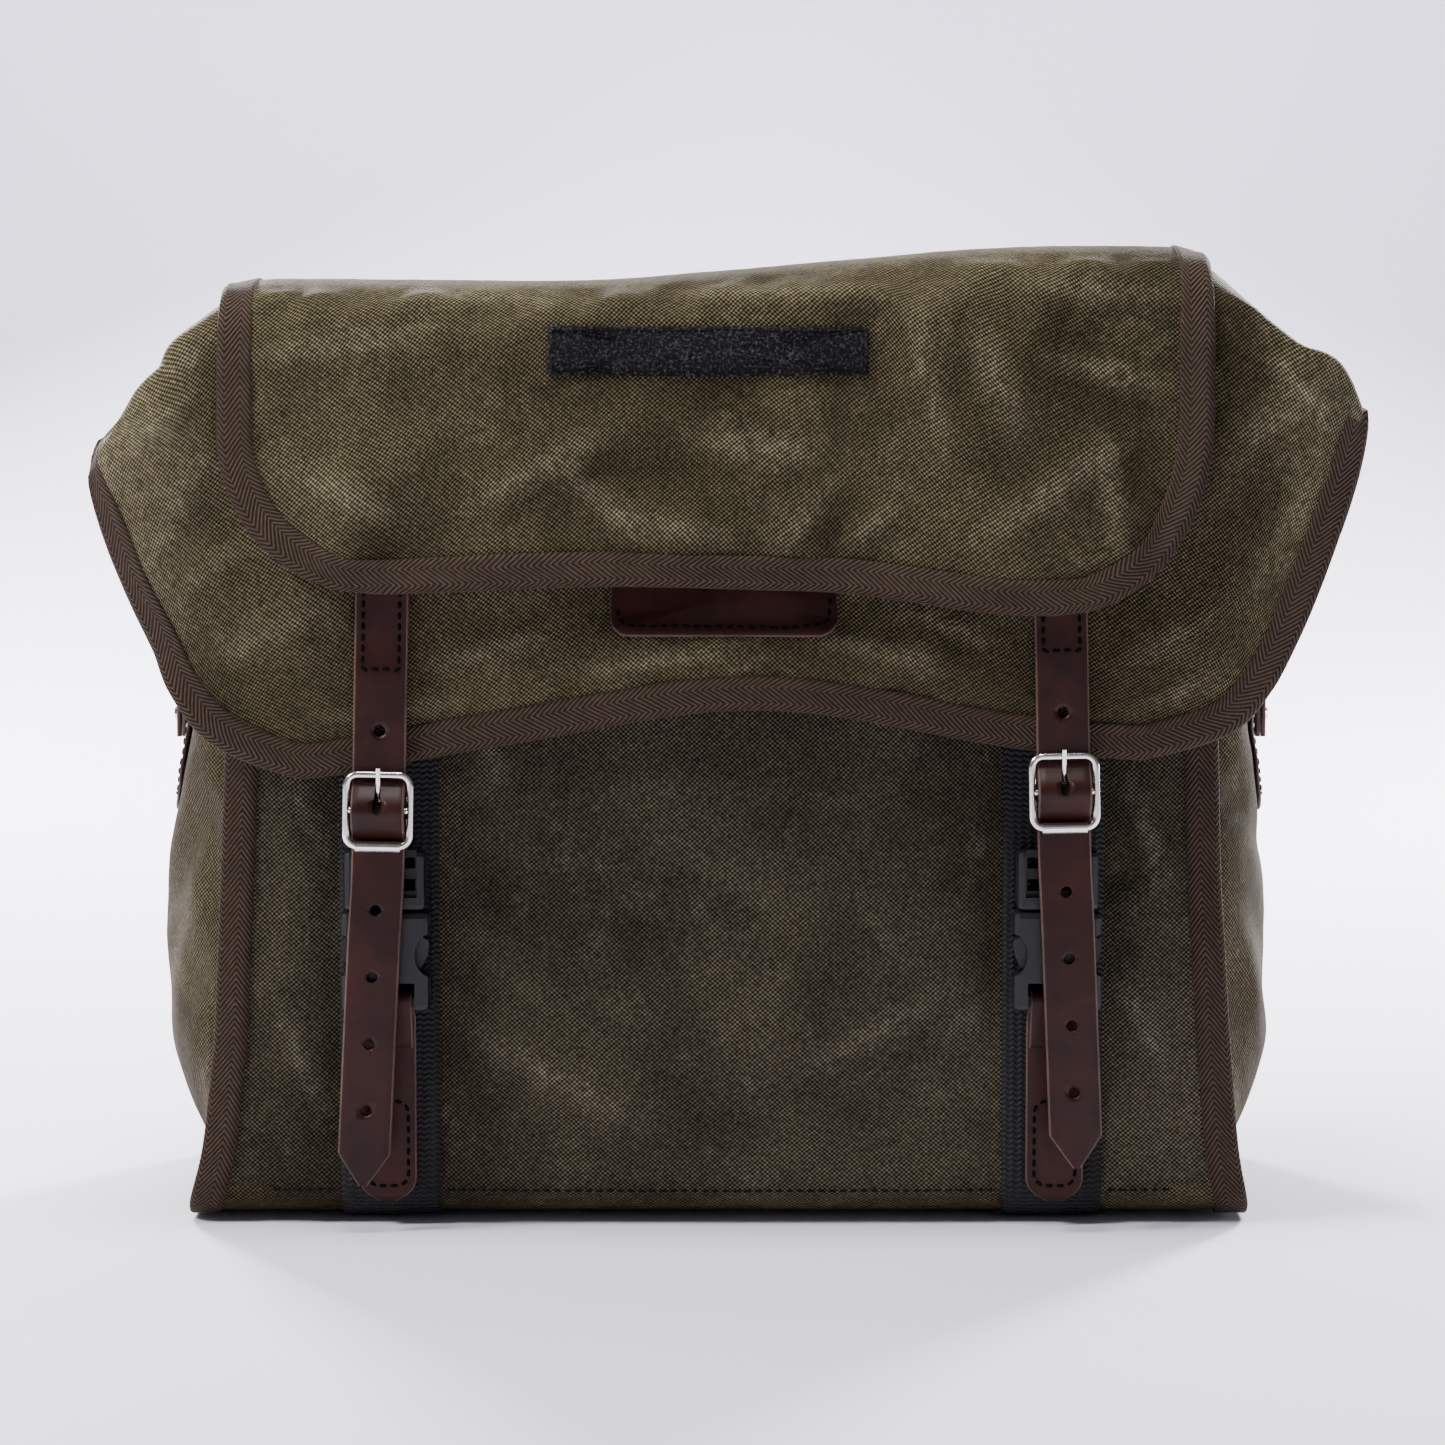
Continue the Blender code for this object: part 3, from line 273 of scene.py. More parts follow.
def webbing_material():
    """Ribbed webbing: cross ribs with a fine zigzag between them, with a painted highlight on the rib
    crests.
    """
    n = Nodes("woven_webbing")
    u, v = n.uv()
    zig = n.math("PINGPONG", u, 1.6 * MM)
    ribs = corrugated(n, n.plus(v, n.times(zig, 0.55)), 2.1 * MM)
    columns = corrugated(n, u, 3.2 * MM)
    fuzz = n.noise(500, 2, 0.6)
    # Rib crests painted paler than the grooves: painted highlight on the ribs.
    colour = n.mix(n.times(ribs, n.fit(fuzz, 0.7, 0.3)), (0.0028, 0.0026, 0.0030), (0.0240, 0.0225, 0.0250))
    height = n.plus(ribs, n.times(columns, 0.5))
    return n.finish(colour, 0.6, n.bump(height, 0.5 * MM, 1.0), Specular_IOR_Level=0.22)


def loop_material():
    """Hook-and-loop tape: a dense black pile."""
    n = Nodes("loop_pile")
    pile = n.noise(900, 4, 0.75)
    clumps = n.noise(420, 3, 0.6, distortion=0.6)
    colour = n.mix(n.step(pile, 0.5, 0.68), (0.0030, 0.0030, 0.0034), (0.060, 0.058, 0.064))
    height = n.plus(n.times(pile, 0.7), clumps)
    return n.finish(colour, 0.95, n.bump(height, 0.8 * MM, 1.0), Specular_IOR_Level=0.15)


def metal_material():
    n = Nodes("nickel_plate")
    stain = n.noise(160, 4, 0.6)
    colour = n.mix(n.step(stain, 0.35, 0.75), (0.78, 0.75, 0.69), (0.90, 0.87, 0.80))
    rough = n.fit(n.noise(320, 3, 0.6), 0.12, 0.14)
    return n.finish(colour, rough, Metallic=1.0)


def plastic_material():
    n = Nodes("moulded_plastic")
    grain = n.noise(2600, 2, 0.5)
    colour = n.mix(n.noise(140, 3, 0.6), (0.0065, 0.0065, 0.0075), (0.0120, 0.0120, 0.0135))
    rough = n.fit(n.noise(400, 3, 0.5), 0.16, 0.34)
    return n.finish(colour, rough, n.bump(grain, 0.02 * MM, 0.5), Specular_IOR_Level=0.32)


def thread_material(name, colour):
    n = Nodes(name)
    twist = n.noise(2400, 2, 0.5)
    return n.finish(n.mix(twist, tuple(c * 0.6 for c in colour), colour), 0.85, Specular_IOR_Level=0.1)


def board_material():
    n = Nodes("stiffener_board")
    grain = n.noise(900, 2, 0.6)
    colour = n.mix(grain, (0.018, 0.018, 0.019), (0.034, 0.034, 0.036))
    return n.finish(colour, 0.55, n.bump(grain, 0.05 * MM, 0.6))


def stage_material():
    n = Nodes("pale_sweep")
    tone = n.noise(1.5, 2, 0.5)
    colour = n.mix(tone, (0.82, 0.80, 0.93), (0.84, 0.82, 0.95))
    return n.finish(colour, 0.85, n.bump(n.noise(220, 2, 0.5), 0.2 * MM, 0.2))


CANVAS = canvas_material(
    "waxed_canvas", (0.0330, 0.0262, 0.0130), (0.082, 0.068, 0.0370), (0.290, 0.250, 0.160)
)
# A darker, greyer copy of the canvas for the front panel: painted shade on the front.
CANVAS_FRONT_SHADED = canvas_material(
    "waxed_canvas_front_painted_shade", (0.0290, 0.0250, 0.0150), (0.068, 0.059, 0.0390), (0.235, 0.208, 0.150)
)
TAPE = tape_material()
LEATHER = leather_material("bridle_leather", (0.0140, 0.0036, 0.0025), (0.0350, 0.0085, 0.0058), 0.42)
EDGE = leather_material("leather_edge", (0.060, 0.034, 0.026), (0.120, 0.078, 0.060), 0.6)
WEBBING = webbing_material()
LOOP = loop_material()
NICKEL = metal_material()
PLASTIC = plastic_material()
THREAD = thread_material("dark_thread", (0.0018, 0.0011, 0.0010))
LOOP_THREAD = thread_material("loop_thread", (0.0035, 0.0035, 0.004))
CANVAS_THREAD = thread_material("canvas_thread", (0.010, 0.008, 0.005))
BOARD = board_material()
# Near black on the walls of the strap's holes and slit: painted shade inside the holes.
HOLE_SHADE = thread_material("punched_hole_shade", (0.004, 0.002, 0.002))
SADDLE = (THREAD, 2.8, 1.3, 0.75)  # the leather's thread, its stitch and gap, and its radius
TAPE_HALF = 1.9  # from a sheet's middle to the face of the tape folded over it


# --- mesh helpers ---------------------------------------------------------------------


def lengths(line):
    """How far along a line each of its points lies."""
    steps = np.linalg.norm(np.diff(line, axis=0), axis=1)
    return np.concatenate([[0.0], np.cumsum(steps)])


def resample(line, stations):
    """Points at these lengths along a polyline."""
    line = np.asarray(line, float)
    length = lengths(line)
    return np.stack([np.interp(stations, length, line[:, k]) for k in range(3)], axis=1)


def line_length(line):
    return float(np.linalg.norm(np.diff(np.asarray(line, float), axis=0), axis=1).sum())


def even_rows(surface, columns, rows, fine=240):
    """A grid on surface(u, v) with columns evenly spaced along each row."""
    grid = []
    for j in range(rows + 1):
        v = j / rows
        line = [surface(i / fine, v) for i in range(fine + 1)]
        length = line_length(line)
        grid.append(resample(line, np.linspace(0, length, columns + 1)))
    return np.array(grid)


def grid_normals(grid):
    du = np.gradient(grid, axis=1)
    dv = np.gradient(grid, axis=0)
    n = np.cross(dv, du)
    return n / np.maximum(np.linalg.norm(n, axis=2, keepdims=True), 1e-9)


def grid_uv(grid):
    """Lengths along the rows and down the columns, in metres, so that a weave keeps its size."""
    du = np.linalg.norm(np.diff(grid, axis=1), axis=2)
    dv = np.linalg.norm(np.diff(grid, axis=0), axis=2)
    u = np.concatenate([np.zeros((grid.shape[0], 1)), np.cumsum(du, axis=1)], axis=1)
    u -= u.mean(axis=1, keepdims=True)
    v = np.concatenate([np.zeros((1, grid.shape[1])), np.cumsum(dv, axis=0)], axis=0)
    return u * MM, (v - v[-1:] + v[-1].mean()) * MM


def over(grid, value):
    """value(x, y, z) at each point of a grid."""
    return np.array([value(*p) for p in grid.reshape(-1, 3)]).reshape(grid.shape[:2])


def uv_of(u, v):
    """Texture places in metres for a grid, from lengths along it and across it in millimetres."""
    uu, vv = np.meshgrid(u, v, indexing="ij")
    return np.stack([uu.ravel() * MM, vv.ravel() * MM], axis=1)


def mesh_object(name, vertices, faces, materials, uv=None, indices=None):
    mesh = bpy.data.meshes.new(name)
    mesh.from_pydata([tuple(v) for v in vertices], [], [tuple(int(i) for i in f) for f in faces])
    for item in materials:
        mesh.materials.append(item)
    if indices is not None:
        mesh.polygons.foreach_set("material_index", indices)
    if uv is not None:
        layer = mesh.uv_layers.new(name="UVMap")
        loops = np.zeros(len(mesh.loops), int)
        mesh.loops.foreach_get("vertex_index", loops)
        layer.data.foreach_set("uv", np.asarray(uv, np.float32)[loops].ravel())
    mesh.update()
    mesh.shade_smooth()
    obj = bpy.data.objects.new(name, mesh)
    bpy.context.scene.collection.objects.link(obj)
    return obj


def grid_faces(rows, columns):
    j, i = np.meshgrid(np.arange(rows - 1), np.arange(columns - 1), indexing="ij")
    a = (j * columns + i).ravel()
    return np.stack([a, a + 1, a + columns + 1, a + columns], axis=1)


def ring_faces(rings, count, start=0, closed=False, flip=False):
    """Quads between neighbouring rings of count points each."""
    faces = []
    for k in range(rings if closed else rings - 1):
        a, b = start + k * count, start + (k + 1) % rings * count
        for i in range(count):
            j = (i + 1) % count
            faces.append((a + i, b + i, b + j, a + j) if flip else (a + i, a + j, b + j, b + i))
    return faces


def grid_object(name, grid, material, uv):
    return mesh_object(name, grid.reshape(-1, 3) * MM, grid_faces(*grid.shape[:2]), [material], uv)


def fabric(name, grid, thickness, material, wear_and_highlight=None, levels=1):
    """A sheet of cloth on a grid in millimetres, thickened about it."""
    u, v = grid_uv(grid)
    obj = grid_object(name, grid, material, np.stack([u.ravel(), v.ravel()], axis=1))
    if wear_and_highlight is not None:
        layer = obj.data.attributes.new("wear_and_highlight", "FLOAT", "POINT")
        layer.data.foreach_set("value", np.clip(wear_and_highlight, 0, 1).ravel().astype(np.float32))
    solidify = obj.modifiers.new("thickness", "SOLIDIFY")
    solidify.thickness = thickness * MM
    solidify.offset = 0.0
    if levels:
        rounded = obj.modifiers.new("smooth", "SUBSURF")
        rounded.levels = levels
        rounded.render_levels = levels
        rounded.boundary_smooth = "PRESERVE_CORNERS"
    return apply_all(obj)


def apply_all(obj):
    bpy.context.view_layer.update()
    graph = bpy.context.evaluated_depsgraph_get()
    mesh = bpy.data.meshes.new_from_object(obj.evaluated_get(graph))
    obj.modifiers.clear()
    old = obj.data
    obj.data = mesh
    bpy.data.meshes.remove(old)
    return obj


def tree_of(grid):
    faces = [tuple(int(i) for i in face) for face in grid_faces(*grid.shape[:2])]
    return BVHTree.FromPolygons([Vector(p) for p in grid.reshape(-1, 3)], faces)


def folded_tape(name, edge, grid, inside, width=12.0):
    """Tape folded over a sheet's free edge: it follows the sheet for its width on both sides."""
    tree = tree_of(grid)
    normals = grid_normals(grid).reshape(-1, 3)
    flat = grid.reshape(-1, 3)
    length = line_length(edge)
    line = resample(edge, np.linspace(0, length, max(8, int(length / 3.2))))
    tangents = np.gradient(line, axis=0)
    tangents /= np.linalg.norm(tangents, axis=1, keepdims=True)
    stations = [
        (width, 0.0), (width - 0.4, 1.0), (width - 1.8, 1.0),
        (width * 0.55, 1.0), (width * 0.28, 1.06), (1.0, 1.2),
    ]
    fold = [(-0.9, 0.8), (-1.5, 0.0), (-0.9, -0.8)]
    rings = []
    for point, tangent in zip(line, tangents):
        normal = normals[int(np.argmin(((flat - point) ** 2).sum(axis=1)))]
        inward = np.cross(tangent, normal)
        if inward @ (np.array(inside) - point) < 0:
            inward = -inward
        inward /= np.linalg.norm(inward)
        lump = 1.0 + 0.10 * fbm(point, 18.0, 2, 3.1)
        ring = [follow(tree, point + inward * s, normal, TAPE_HALF * lift * lump) for s, lift in stations]
        ring += [point + inward * out + normal * TAPE_HALF * lift * lump for out, lift in fold]
        back = reversed(stations)
        ring += [follow(tree, point + inward * s, normal, -(TAPE_HALF * lift * lump)) for s, lift in back]
        rings.append(ring)
    rings = np.array(rings)
    for _ in range(6):
        between = (rings[:-2] + rings[2:]) / 2
        for part in (slice(None, 5), slice(-5, None)):
            rings[1:-1, part] = 0.5 * rings[1:-1, part] + 0.5 * between[:, part]
    across = np.linalg.norm(np.diff(rings, axis=1), axis=2).mean(axis=0)
    v = np.concatenate([[0.0], np.cumsum(across)])
    return grid_object(name, rings, TAPE, uv_of(lengths(line), v))


def follow(tree, point, normal, lift):
    """The sheet's nearest point, lifted off its face on the side of this normal."""
    place, facing, _, _ = tree.find_nearest(Vector(point))
    facing = np.array(facing)
    if facing @ normal < 0:
        facing = -facing
    return np.array(place) + facing * lift


def stitches(name, lines, material, length=2.7, gap=1.0, radius=0.38):
    """Rows of thread stitches: each line is (points, normal), and each stitch a small swollen pill."""
    vertices, faces = [], []
    profile = [(-0.5, 0.25), (-0.36, 0.8), (0.0, 1.0), (0.36, 0.8), (0.5, 0.25)]
    sides = 6
    for points, facing in lines:
        total = line_length(points)
        count = max(1, int(total / (length + gap)))
        pitch = total / count
        line = resample(points, np.linspace(0, total, count * 2 + 1))
        for k in range(count):
            middle = line[2 * k + 1]
            ahead = line[2 * k + 2] - line[2 * k]
            ahead = ahead / max(np.linalg.norm(ahead), 1e-9)
            up = np.asarray(facing, float)
            up = up - ahead * (up @ ahead)
            up /= np.linalg.norm(up)
            across = np.cross(ahead, up)
            start = len(vertices)
            for share, size in profile:
                for s in range(sides):
                    angle = 2 * math.pi * s / sides
                    offset = across * math.cos(angle) * radius + up * math.sin(angle) * radius * 0.8
                    vertices.append(middle + ahead * share * (pitch - gap) + offset * size)
            faces += ring_faces(len(profile), sides, start)
            faces.append(tuple(start + s for s in reversed(range(sides))))
            faces.append(tuple(start + (len(profile) - 1) * sides + s for s in range(sides)))
    return mesh_object(name, np.array(vertices) * MM, faces, [material])


def buckled(grid, pins, growth, low, high, free, frames=14):
    """Lets a sheet that is cut slightly too large buckle between its pinned places."""
    rows, columns = grid.shape[:2]
    obj = mesh_object("buckling", grid.reshape(-1, 3) * MM * 10, grid_faces(rows, columns), [])
    normals = grid_normals(grid)
    group = obj.vertex_groups.new(name="pins")
    flat_pins = pins.ravel()
    for weight in np.unique(np.round(flat_pins, 2)):
        if weight > 0:
            found = [int(i) for i in np.nonzero(np.abs(flat_pins - weight) < 0.006)[0]]
            group.add(found, float(weight), "REPLACE")
    wobble = over(grid, lambda *p: fbm(p, 34.0, 3, 5.7))
    start = grid + normals * (wobble * 1.2 * (1 - pins))[..., None]
    obj.data.vertices.foreach_set("co", (start.reshape(-1, 3) * MM * 10).ravel().astype(np.float32))
    cloth = obj.modifiers.new("cloth", "CLOTH")
    settings = cloth.settings
    settings.quality = 6
    settings.mass = 0.4
    settings.tension_stiffness = 40
    settings.compression_stiffness = 40
    settings.shear_stiffness = 20
    settings.bending_stiffness = 6
    settings.tension_damping = 15
    settings.compression_damping = 15
    settings.bending_damping = 2
    settings.shrink_min = -growth
    settings.vertex_group_mass = "pins"
    settings.effector_weights.gravity = 0.0
    cloth.collision_settings.use_collision = False
    cloth.point_cache.frame_start = 1
    cloth.point_cache.frame_end = frames + 1
    scene = bpy.context.scene
    for frame_number in range(1, frames + 1):
        scene.frame_set(frame_number)
    graph = bpy.context.evaluated_depsgraph_get()
    mesh = obj.evaluated_get(graph).data
    moved = np.zeros(rows * columns * 3, np.float32)
    mesh.vertices.foreach_get("co", moved)
    moved = moved.reshape(rows, columns, 3).astype(float) / (MM * 10)
    scene.frame_set(1)
    bpy.data.objects.remove(obj)
    shift = moved - grid
    shift[~np.isfinite(shift)] = 0
    out = (shift * normals).sum(axis=2)
    limited = np.where(out > 0, high * np.tanh(out / high), low * np.tanh(out / low))
    return grid + normals * (limited * free)[..., None]


def creased(grid, creases, wear_and_highlight, plane=(0, 2), rim=1.0):
    """Ridges and dents along short lines: (x0, z0, x1, z1, width, height), seen square on."""
    normals = grid_normals(grid)
    for x0, z0, x1, z1, width, height in creases:
        a, b = np.array([x0, z0], float), np.array([x1, z1], float)
        p = grid[..., list(plane)]
        d = b - a
        t = np.clip(((p - a) @ d) / (d @ d), 0, 1)
        foot = a + t[..., None] * d
        off = np.linalg.norm(p - foot, axis=2)
        ends = np.sin(np.pi * np.clip(t, 0.02, 0.98)) ** 0.5
        ridge = np.exp(-((off / width) ** 2)) * ends
        grid = grid + normals * (ridge * height * rim)[..., None]
        wear_and_highlight += np.exp(-((off / (width * 0.42)) ** 2)) * ends * 0.30 * (1 if height > 0 else 0.35)
    return grid, wear_and_highlight


def rumpled(grid, size, scale, seed, free=1.0):
    bumps = over(grid, lambda *p: fbm(p, scale, 4, seed))
    return grid + grid_normals(grid) * (bumps * size * free)[..., None]


# --- the bag's body -------------------------------------------------------------------

FRONT_Y, BACK_Y, BASE_Z, MOUTH_Z, HEM_Z = -71.0, 91.2, 2.6, 322.0, 17.0
CORNER_R, FIN, HALF = 14.0, 13.0, 0.9
WEB_X, WEB_HALF = 126.0, 19.0


def edge_x(z):
    return 184 + 16 * math.exp(-max(z, 0.0) / 120)


def front_surface(u, v):
    """The front: it bulges between the webbing runs, a little beside them, and laps over the base."""
    z = 8.0 + (MOUTH_Z - 8.0) * (1 - v)
    half = edge_x(z) - 0.6
    x = half * (2 * u - 1)
    tuck = CORNER_R - math.sqrt(CORNER_R**2 - max(0.0, BASE_Z + CORNER_R - z) ** 2)
    lap = 1.25 * (1 - smooth((z - 14) / 14)) * (1 - smooth((abs(x) - 162) / 8))
    up = math.sin(math.pi * min(1.0, (1 - v) / 0.80)) ** 0.7 if v < 1 else 0.0
    middle = max(0.0, 1 - (x / 104) ** 2) ** 0.8
    beside = max(0.0, 1 - ((abs(x) - 160) / 12.5) ** 2) if abs(x) > 145 else 0.0
    puff = 11.5 * middle * up + 1.6 * beside * up
    return (x, FRONT_Y + tuck - lap - puff, z)


def back_surface(u, v):
    z = HEM_Z + (MOUTH_Z - HEM_Z) * v
    half = edge_x(z) - 0.6
    return (half * (1 - 2 * u), BACK_Y, z)


def gusset_x(y, z):
    deep = min(y - FRONT_Y, BACK_Y - y, z - BASE_Z)
    low_y = min(y - FRONT_Y, BACK_Y - y)
    if z - BASE_Z < CORNER_R and low_y < CORNER_R:
        deep = CORNER_R - math.hypot(CORNER_R - low_y, CORNER_R - (z - BASE_Z))
    share = min(1.0, max(0.0, (y - FRONT_Y) / (BACK_Y - FRONT_Y)))
    rise = (z - BASE_Z) / (MOUTH_Z - BASE_Z)
    across = math.sin(math.pi * share) ** 0.6
    up = math.sin(math.pi * 0.5 * min(1.0, rise / 0.21)) * (1 - 0.35 * smooth((rise - 0.6) / 0.4))
    ramp = smooth((deep - 3.6) / 11)
    return edge_x(z) - FIN - 1.5 + 33 * across * max(0.0, up) * ramp


def gusset_grid(side, columns=44, rows=72):
    clear = 1.4
    middle, half = (FRONT_Y + BACK_Y) / 2, (BACK_Y - FRONT_Y) / 2 - clear
    low = BASE_Z + clear
    grid = np.zeros((rows + 1, columns + 1, 3))
    for j in range(rows + 1):
        rise = (MOUTH_Z - low) * (j / rows) ** 1.15
        z = low + rise
        drop = max(0.0, CORNER_R - clear - rise)
        reach = half - ((CORNER_R - clear) - math.sqrt(max(0.0, (CORNER_R - clear) ** 2 - drop**2)))
        for i in range(columns + 1):
            share = -math.cos(math.pi * i / columns) * 0.35 + (2 * i / columns - 1) * 0.65
            y = middle + side * share * reach
            x = gusset_x(y, z)
            grid[j, i] = (side * x, y, z)
    return grid


def tray_path(radius, y_front, y_back, z_base, z_top, fine=6.0):
    """Down the front, round the bottom corners and up the back: rows of (y, z, outward y, outward z)."""
    places = [(y_front, z, -1.0, 0.0) for z in np.arange(z_top, z_base + radius + 1, -fine)]
    for centre, start in ((y_front + radius, 180), (y_back - radius, 270)):
        for step in range(7):
            a = math.radians(start + 90 * step / 6)
            out, up = math.cos(a), math.sin(a)
            places.append((centre + radius * out, z_base + radius + radius * up, out, up))
        if start == 180:
            for y in np.linspace(y_front + radius, y_back - radius, 26)[1:-1]:
                places.append((y, z_base, 0.0, -1.0))
    places += [(y_back, z, 1.0, 0.0) for z in np.arange(z_base + radius + fine, z_top + 0.1, fine)]
    return places


def edge_mask(rows, columns, left=4, right=4, top=4, bottom=4):
    """1 at the pinned edges, falling to 0 a few cells in."""
    j = np.arange(rows)[:, None]
    i = np.arange(columns)[None, :]
    near = np.full((rows, columns), 1e9)
    for distance, reach in ((i, left), (columns - 1 - i, right), (j, top), (rows - 1 - j, bottom)):
        if reach:
            near = np.minimum(near, np.broadcast_to(distance / reach, near.shape))
    return np.clip(1 - near, 0, 1)


def make_body():
    """The canvas of the body: front, back, base and gussets, with the tape round the mouth."""
    root = "bag_body"
    grid = even_rows(front_surface, 92, 72)
    rows, columns = grid.shape[:2]
    pins = edge_mask(rows, columns, 3, 3, 3, 3)
    web = over(grid, lambda x, y, z: max(
        1 - smooth((abs(abs(x) - WEB_X) - 18) / 10), smooth((abs(x) - 164) / 9), 1 - smooth((z - 18) / 22)
    ))
    pins = np.maximum(pins, web)
    free = 1 - web
    grid = buckled(grid, pins, 0.012, low=-1.5, high=2.2, free=free)
    wear_and_highlight = np.zeros(grid.shape[:2])
    creases = [
        (-70, 262, -20, 214, 9, 1.6), (10, 250, 66, 205, 10, 1.5), (70, 262, 96, 190, 7, 1.4),
        (-98, 240, -84, 160, 7, 1.1), (-30, 150, 30, 120, 16, -1.0), (-90, 70, -30, 40, 10, 0.9),
        (30, 60, 92, 92, 11, 0.9), (-170, 190, -150, 140, 6, 0.9), (152, 176, 172, 120, 6, 0.9),
        (-172, 90, -152, 40, 6, 0.8), (150, 96, 176, 50, 7, 0.8),
    ]
    grid, wear_and_highlight = creased(grid, creases, wear_and_highlight)
    grid = rumpled(grid, 0.55, 42, 2.0, free)
    grids["front"] = grid
    panel = fabric("front_cloth", grid, 2 * HALF, CANVAS_FRONT_SHADED, wear_and_highlight * free)
    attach(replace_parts(panel, "front_panel"), root)

    grid = even_rows(back_surface, 60, 50)
    grid = rumpled(grid, 0.35, 60, 9.0)
    panel = fabric("back_cloth", grid, 2 * HALF, CANVAS, np.zeros(grid.shape[:2]))
    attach(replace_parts(panel, "back_panel"), root)

    places = tray_path(CORNER_R, FRONT_Y, BACK_Y, BASE_Z, HEM_Z - 0.3, 2.0)
    grid = np.array([
        [((edge_x(z) - 0.6) * s, y, z) for s in np.linspace(-1, 1, 41)] for y, z, _, _ in places
    ])
    panel = fabric("base_cloth", grid, 2 * HALF, CANVAS, np.zeros(grid.shape[:2]))
    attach(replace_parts(panel, "base_panel"), root)

    for side, name in SIDES:
        grid = gusset_grid(side)
        rows, columns = grid.shape[:2]
        pins = edge_mask(rows, columns, 4, 4, 2, 4)
        patch = over(grid, lambda x, y, z: bell(y, 10, 34) ** 2 * bell(z, 190, 62) ** 2)
        free = 1 - np.clip(patch * 1.6, 0, 1)
        pins = np.maximum(pins, 0.8 * np.clip(patch * 1.5, 0, 1))
        grid = buckled(grid, pins, 0.02, low=-3.0, high=5.5, free=free)
        most = 7.0 if side < 0 else 2.5
        swell = over(
            grid, lambda x, y, z: (most * bell(z, 120, 70) + 3.0 * bell(z, 190, 60)) * bell(y, 6, 56)
        )
        grid[..., 0] += side * swell * np.clip(free + 0.25, 0, 1)
        wear_and_highlight = np.zeros((rows, columns))
        creases = [
            (-50, 250, -10, 150, 8, 1.8), (60, 240, 30, 120, 9, 1.6), (-45, 120, 20, 60, 10, 1.5),
            (40, 90, 75, 40, 8, 1.3), (-56, 60, -30, 20, 7, 1.2), (-40, 300, 30, 268, 9, -1.5),
            (10, 50, 60, 24, 9, 1.2),
        ]
        grid, wear_and_highlight = creased(grid, creases, wear_and_highlight, plane=(1, 2))
        grid = rumpled(grid, 0.8, 34, 12.0 + side, free)
        panel = fabric(f"gusset_{name}_cloth", grid, 2 * HALF, CANVAS, wear_and_highlight * free)
        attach(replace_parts(panel, f"gusset_{name}"), root)
        grids[f"gusset_{name}"] = grid

        tape = folded_tape(f"mouth_tape_{name}", grid[-1][2:-2], grid, grid[-6].mean(axis=0), 11.5)
        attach(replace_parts(tape, f"mouth_binding_{name}"), root)

    edge = np.array([(x, FRONT_Y, MOUTH_Z) for x in np.linspace(-164, 164, 60)])
    heights = (322.0, 316.0, 310.0, 304.0)
    flat = np.array([[(x, FRONT_Y, z) for x in np.linspace(-180, 180, 61)] for z in heights])
    tape = folded_tape("mouth_tape_front", edge, flat, (0, FRONT_Y, 300), 11.5)
    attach(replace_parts(tape, "mouth_binding_front"), root)


def seam_tapes():
    """Tape over each side seam: down the front, round under the base and up the back."""
    half_section = [(12.0, 0.9), (11.6, 1.9), (8.5, 1.95), (5.5, 1.95), (2.5, 2.0), (0.4, 2.1), (-0.7, 1.5)]
    section = half_section + [(-1.1, 0.0)] + [(inward, -out) for inward, out in reversed(half_section)]
    for side, name in SIDES:
        places = [(FRONT_Y, z, -1.0, 0.0) for z in np.arange(312, HEM_Z, -4.0)]
        places += tray_path(CORNER_R, FRONT_Y, BACK_Y, BASE_Z, HEM_Z, 2.0)[1:-1]
        places += [(BACK_Y, z, 1.0, 0.0) for z in np.arange(HEM_Z, 312.1, 4.0)]
        flare = 4.0 if side < 0 else 2.0
        rings = []
        for y, z, oy, oz in places:
            wave = 0.6 * fbm((side * 50, y, z), 45, 2, 4.0) + flare * bell(z, 0, 18)
            rings.append([
                (side * (edge_x(z) - inward + wave), y + oy * out, max(z + oz * out, 0.35))
                for inward, out in section
            ])
        grid = np.array(rings)
        obj = grid_object(f"seam_tape_{name}", grid, TAPE, uv_of(lengths(grid[:, 5]), lengths(grid[0])))
        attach(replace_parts(obj, f"seam_binding_{name}"), "bag_body")


def make_webbing():
    """The webbing straps round the bag, and on the back a sewn loop of the same webbing on each."""
    lift = 1.0 + 0.3 + 0.65
    path = tray_path(CORNER_R + lift, FRONT_Y - lift, BACK_Y + lift, 0.65, 300.0, 4.0)
    face = BACK_Y + 1.0 + 0.3 + 1.3 + 0.3 + 0.65
    loop_low, loop_high, loop_out, sewn = 215, 285, 5.7, 11
    loop = []
    for z in np.linspace(loop_low, loop_high, 44):
        inward = min(z - loop_low, loop_high - z)
        loop.append((face + loop_out * smooth((inward - sewn) / 7), z, 1.0, 0.0))
    for side, name in SIDES:
        def strip(places):
            grid = []
            for y, z, oy, oz in places:
                row = []
                for s in np.linspace(-1, 1, 13):
                    dip = 0.22 * abs(s) ** 6
                    row.append((side * WEB_X + WEB_HALF * s, y - oy * dip, max(z - oz * dip, 0.62)))
                grid.append(row)
            return np.array(grid)

        obj = fabric(f"webbing_{name}_cloth", strip(path), 1.2, WEBBING, levels=0)
        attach(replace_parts(obj, f"webbing_{name}"), "bag_body")
        obj = fabric(f"rack_loop_{name}_cloth", strip(loop), 1.2, WEBBING, levels=0)
        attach(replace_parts(obj, f"rack_loop_{name}"), "bag_body")
        x0, x1, y = side * WEB_X - 16, side * WEB_X + 16, face + 0.75
        rows = [(z, z) for z in (218, 223.5, 276.5, 282)] + [(218, 223.5), (276.5, 282)]
        lines = [(np.array([(x0, y, low), (x1, y, high)]), (0, 1, 0)) for low, high in rows]
        obj = stitches(f"rack_loop_{name}_stitches", lines, THREAD)
        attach(obj, "bag_body")


# --- lid and overflap -----------------------------------------------------------------

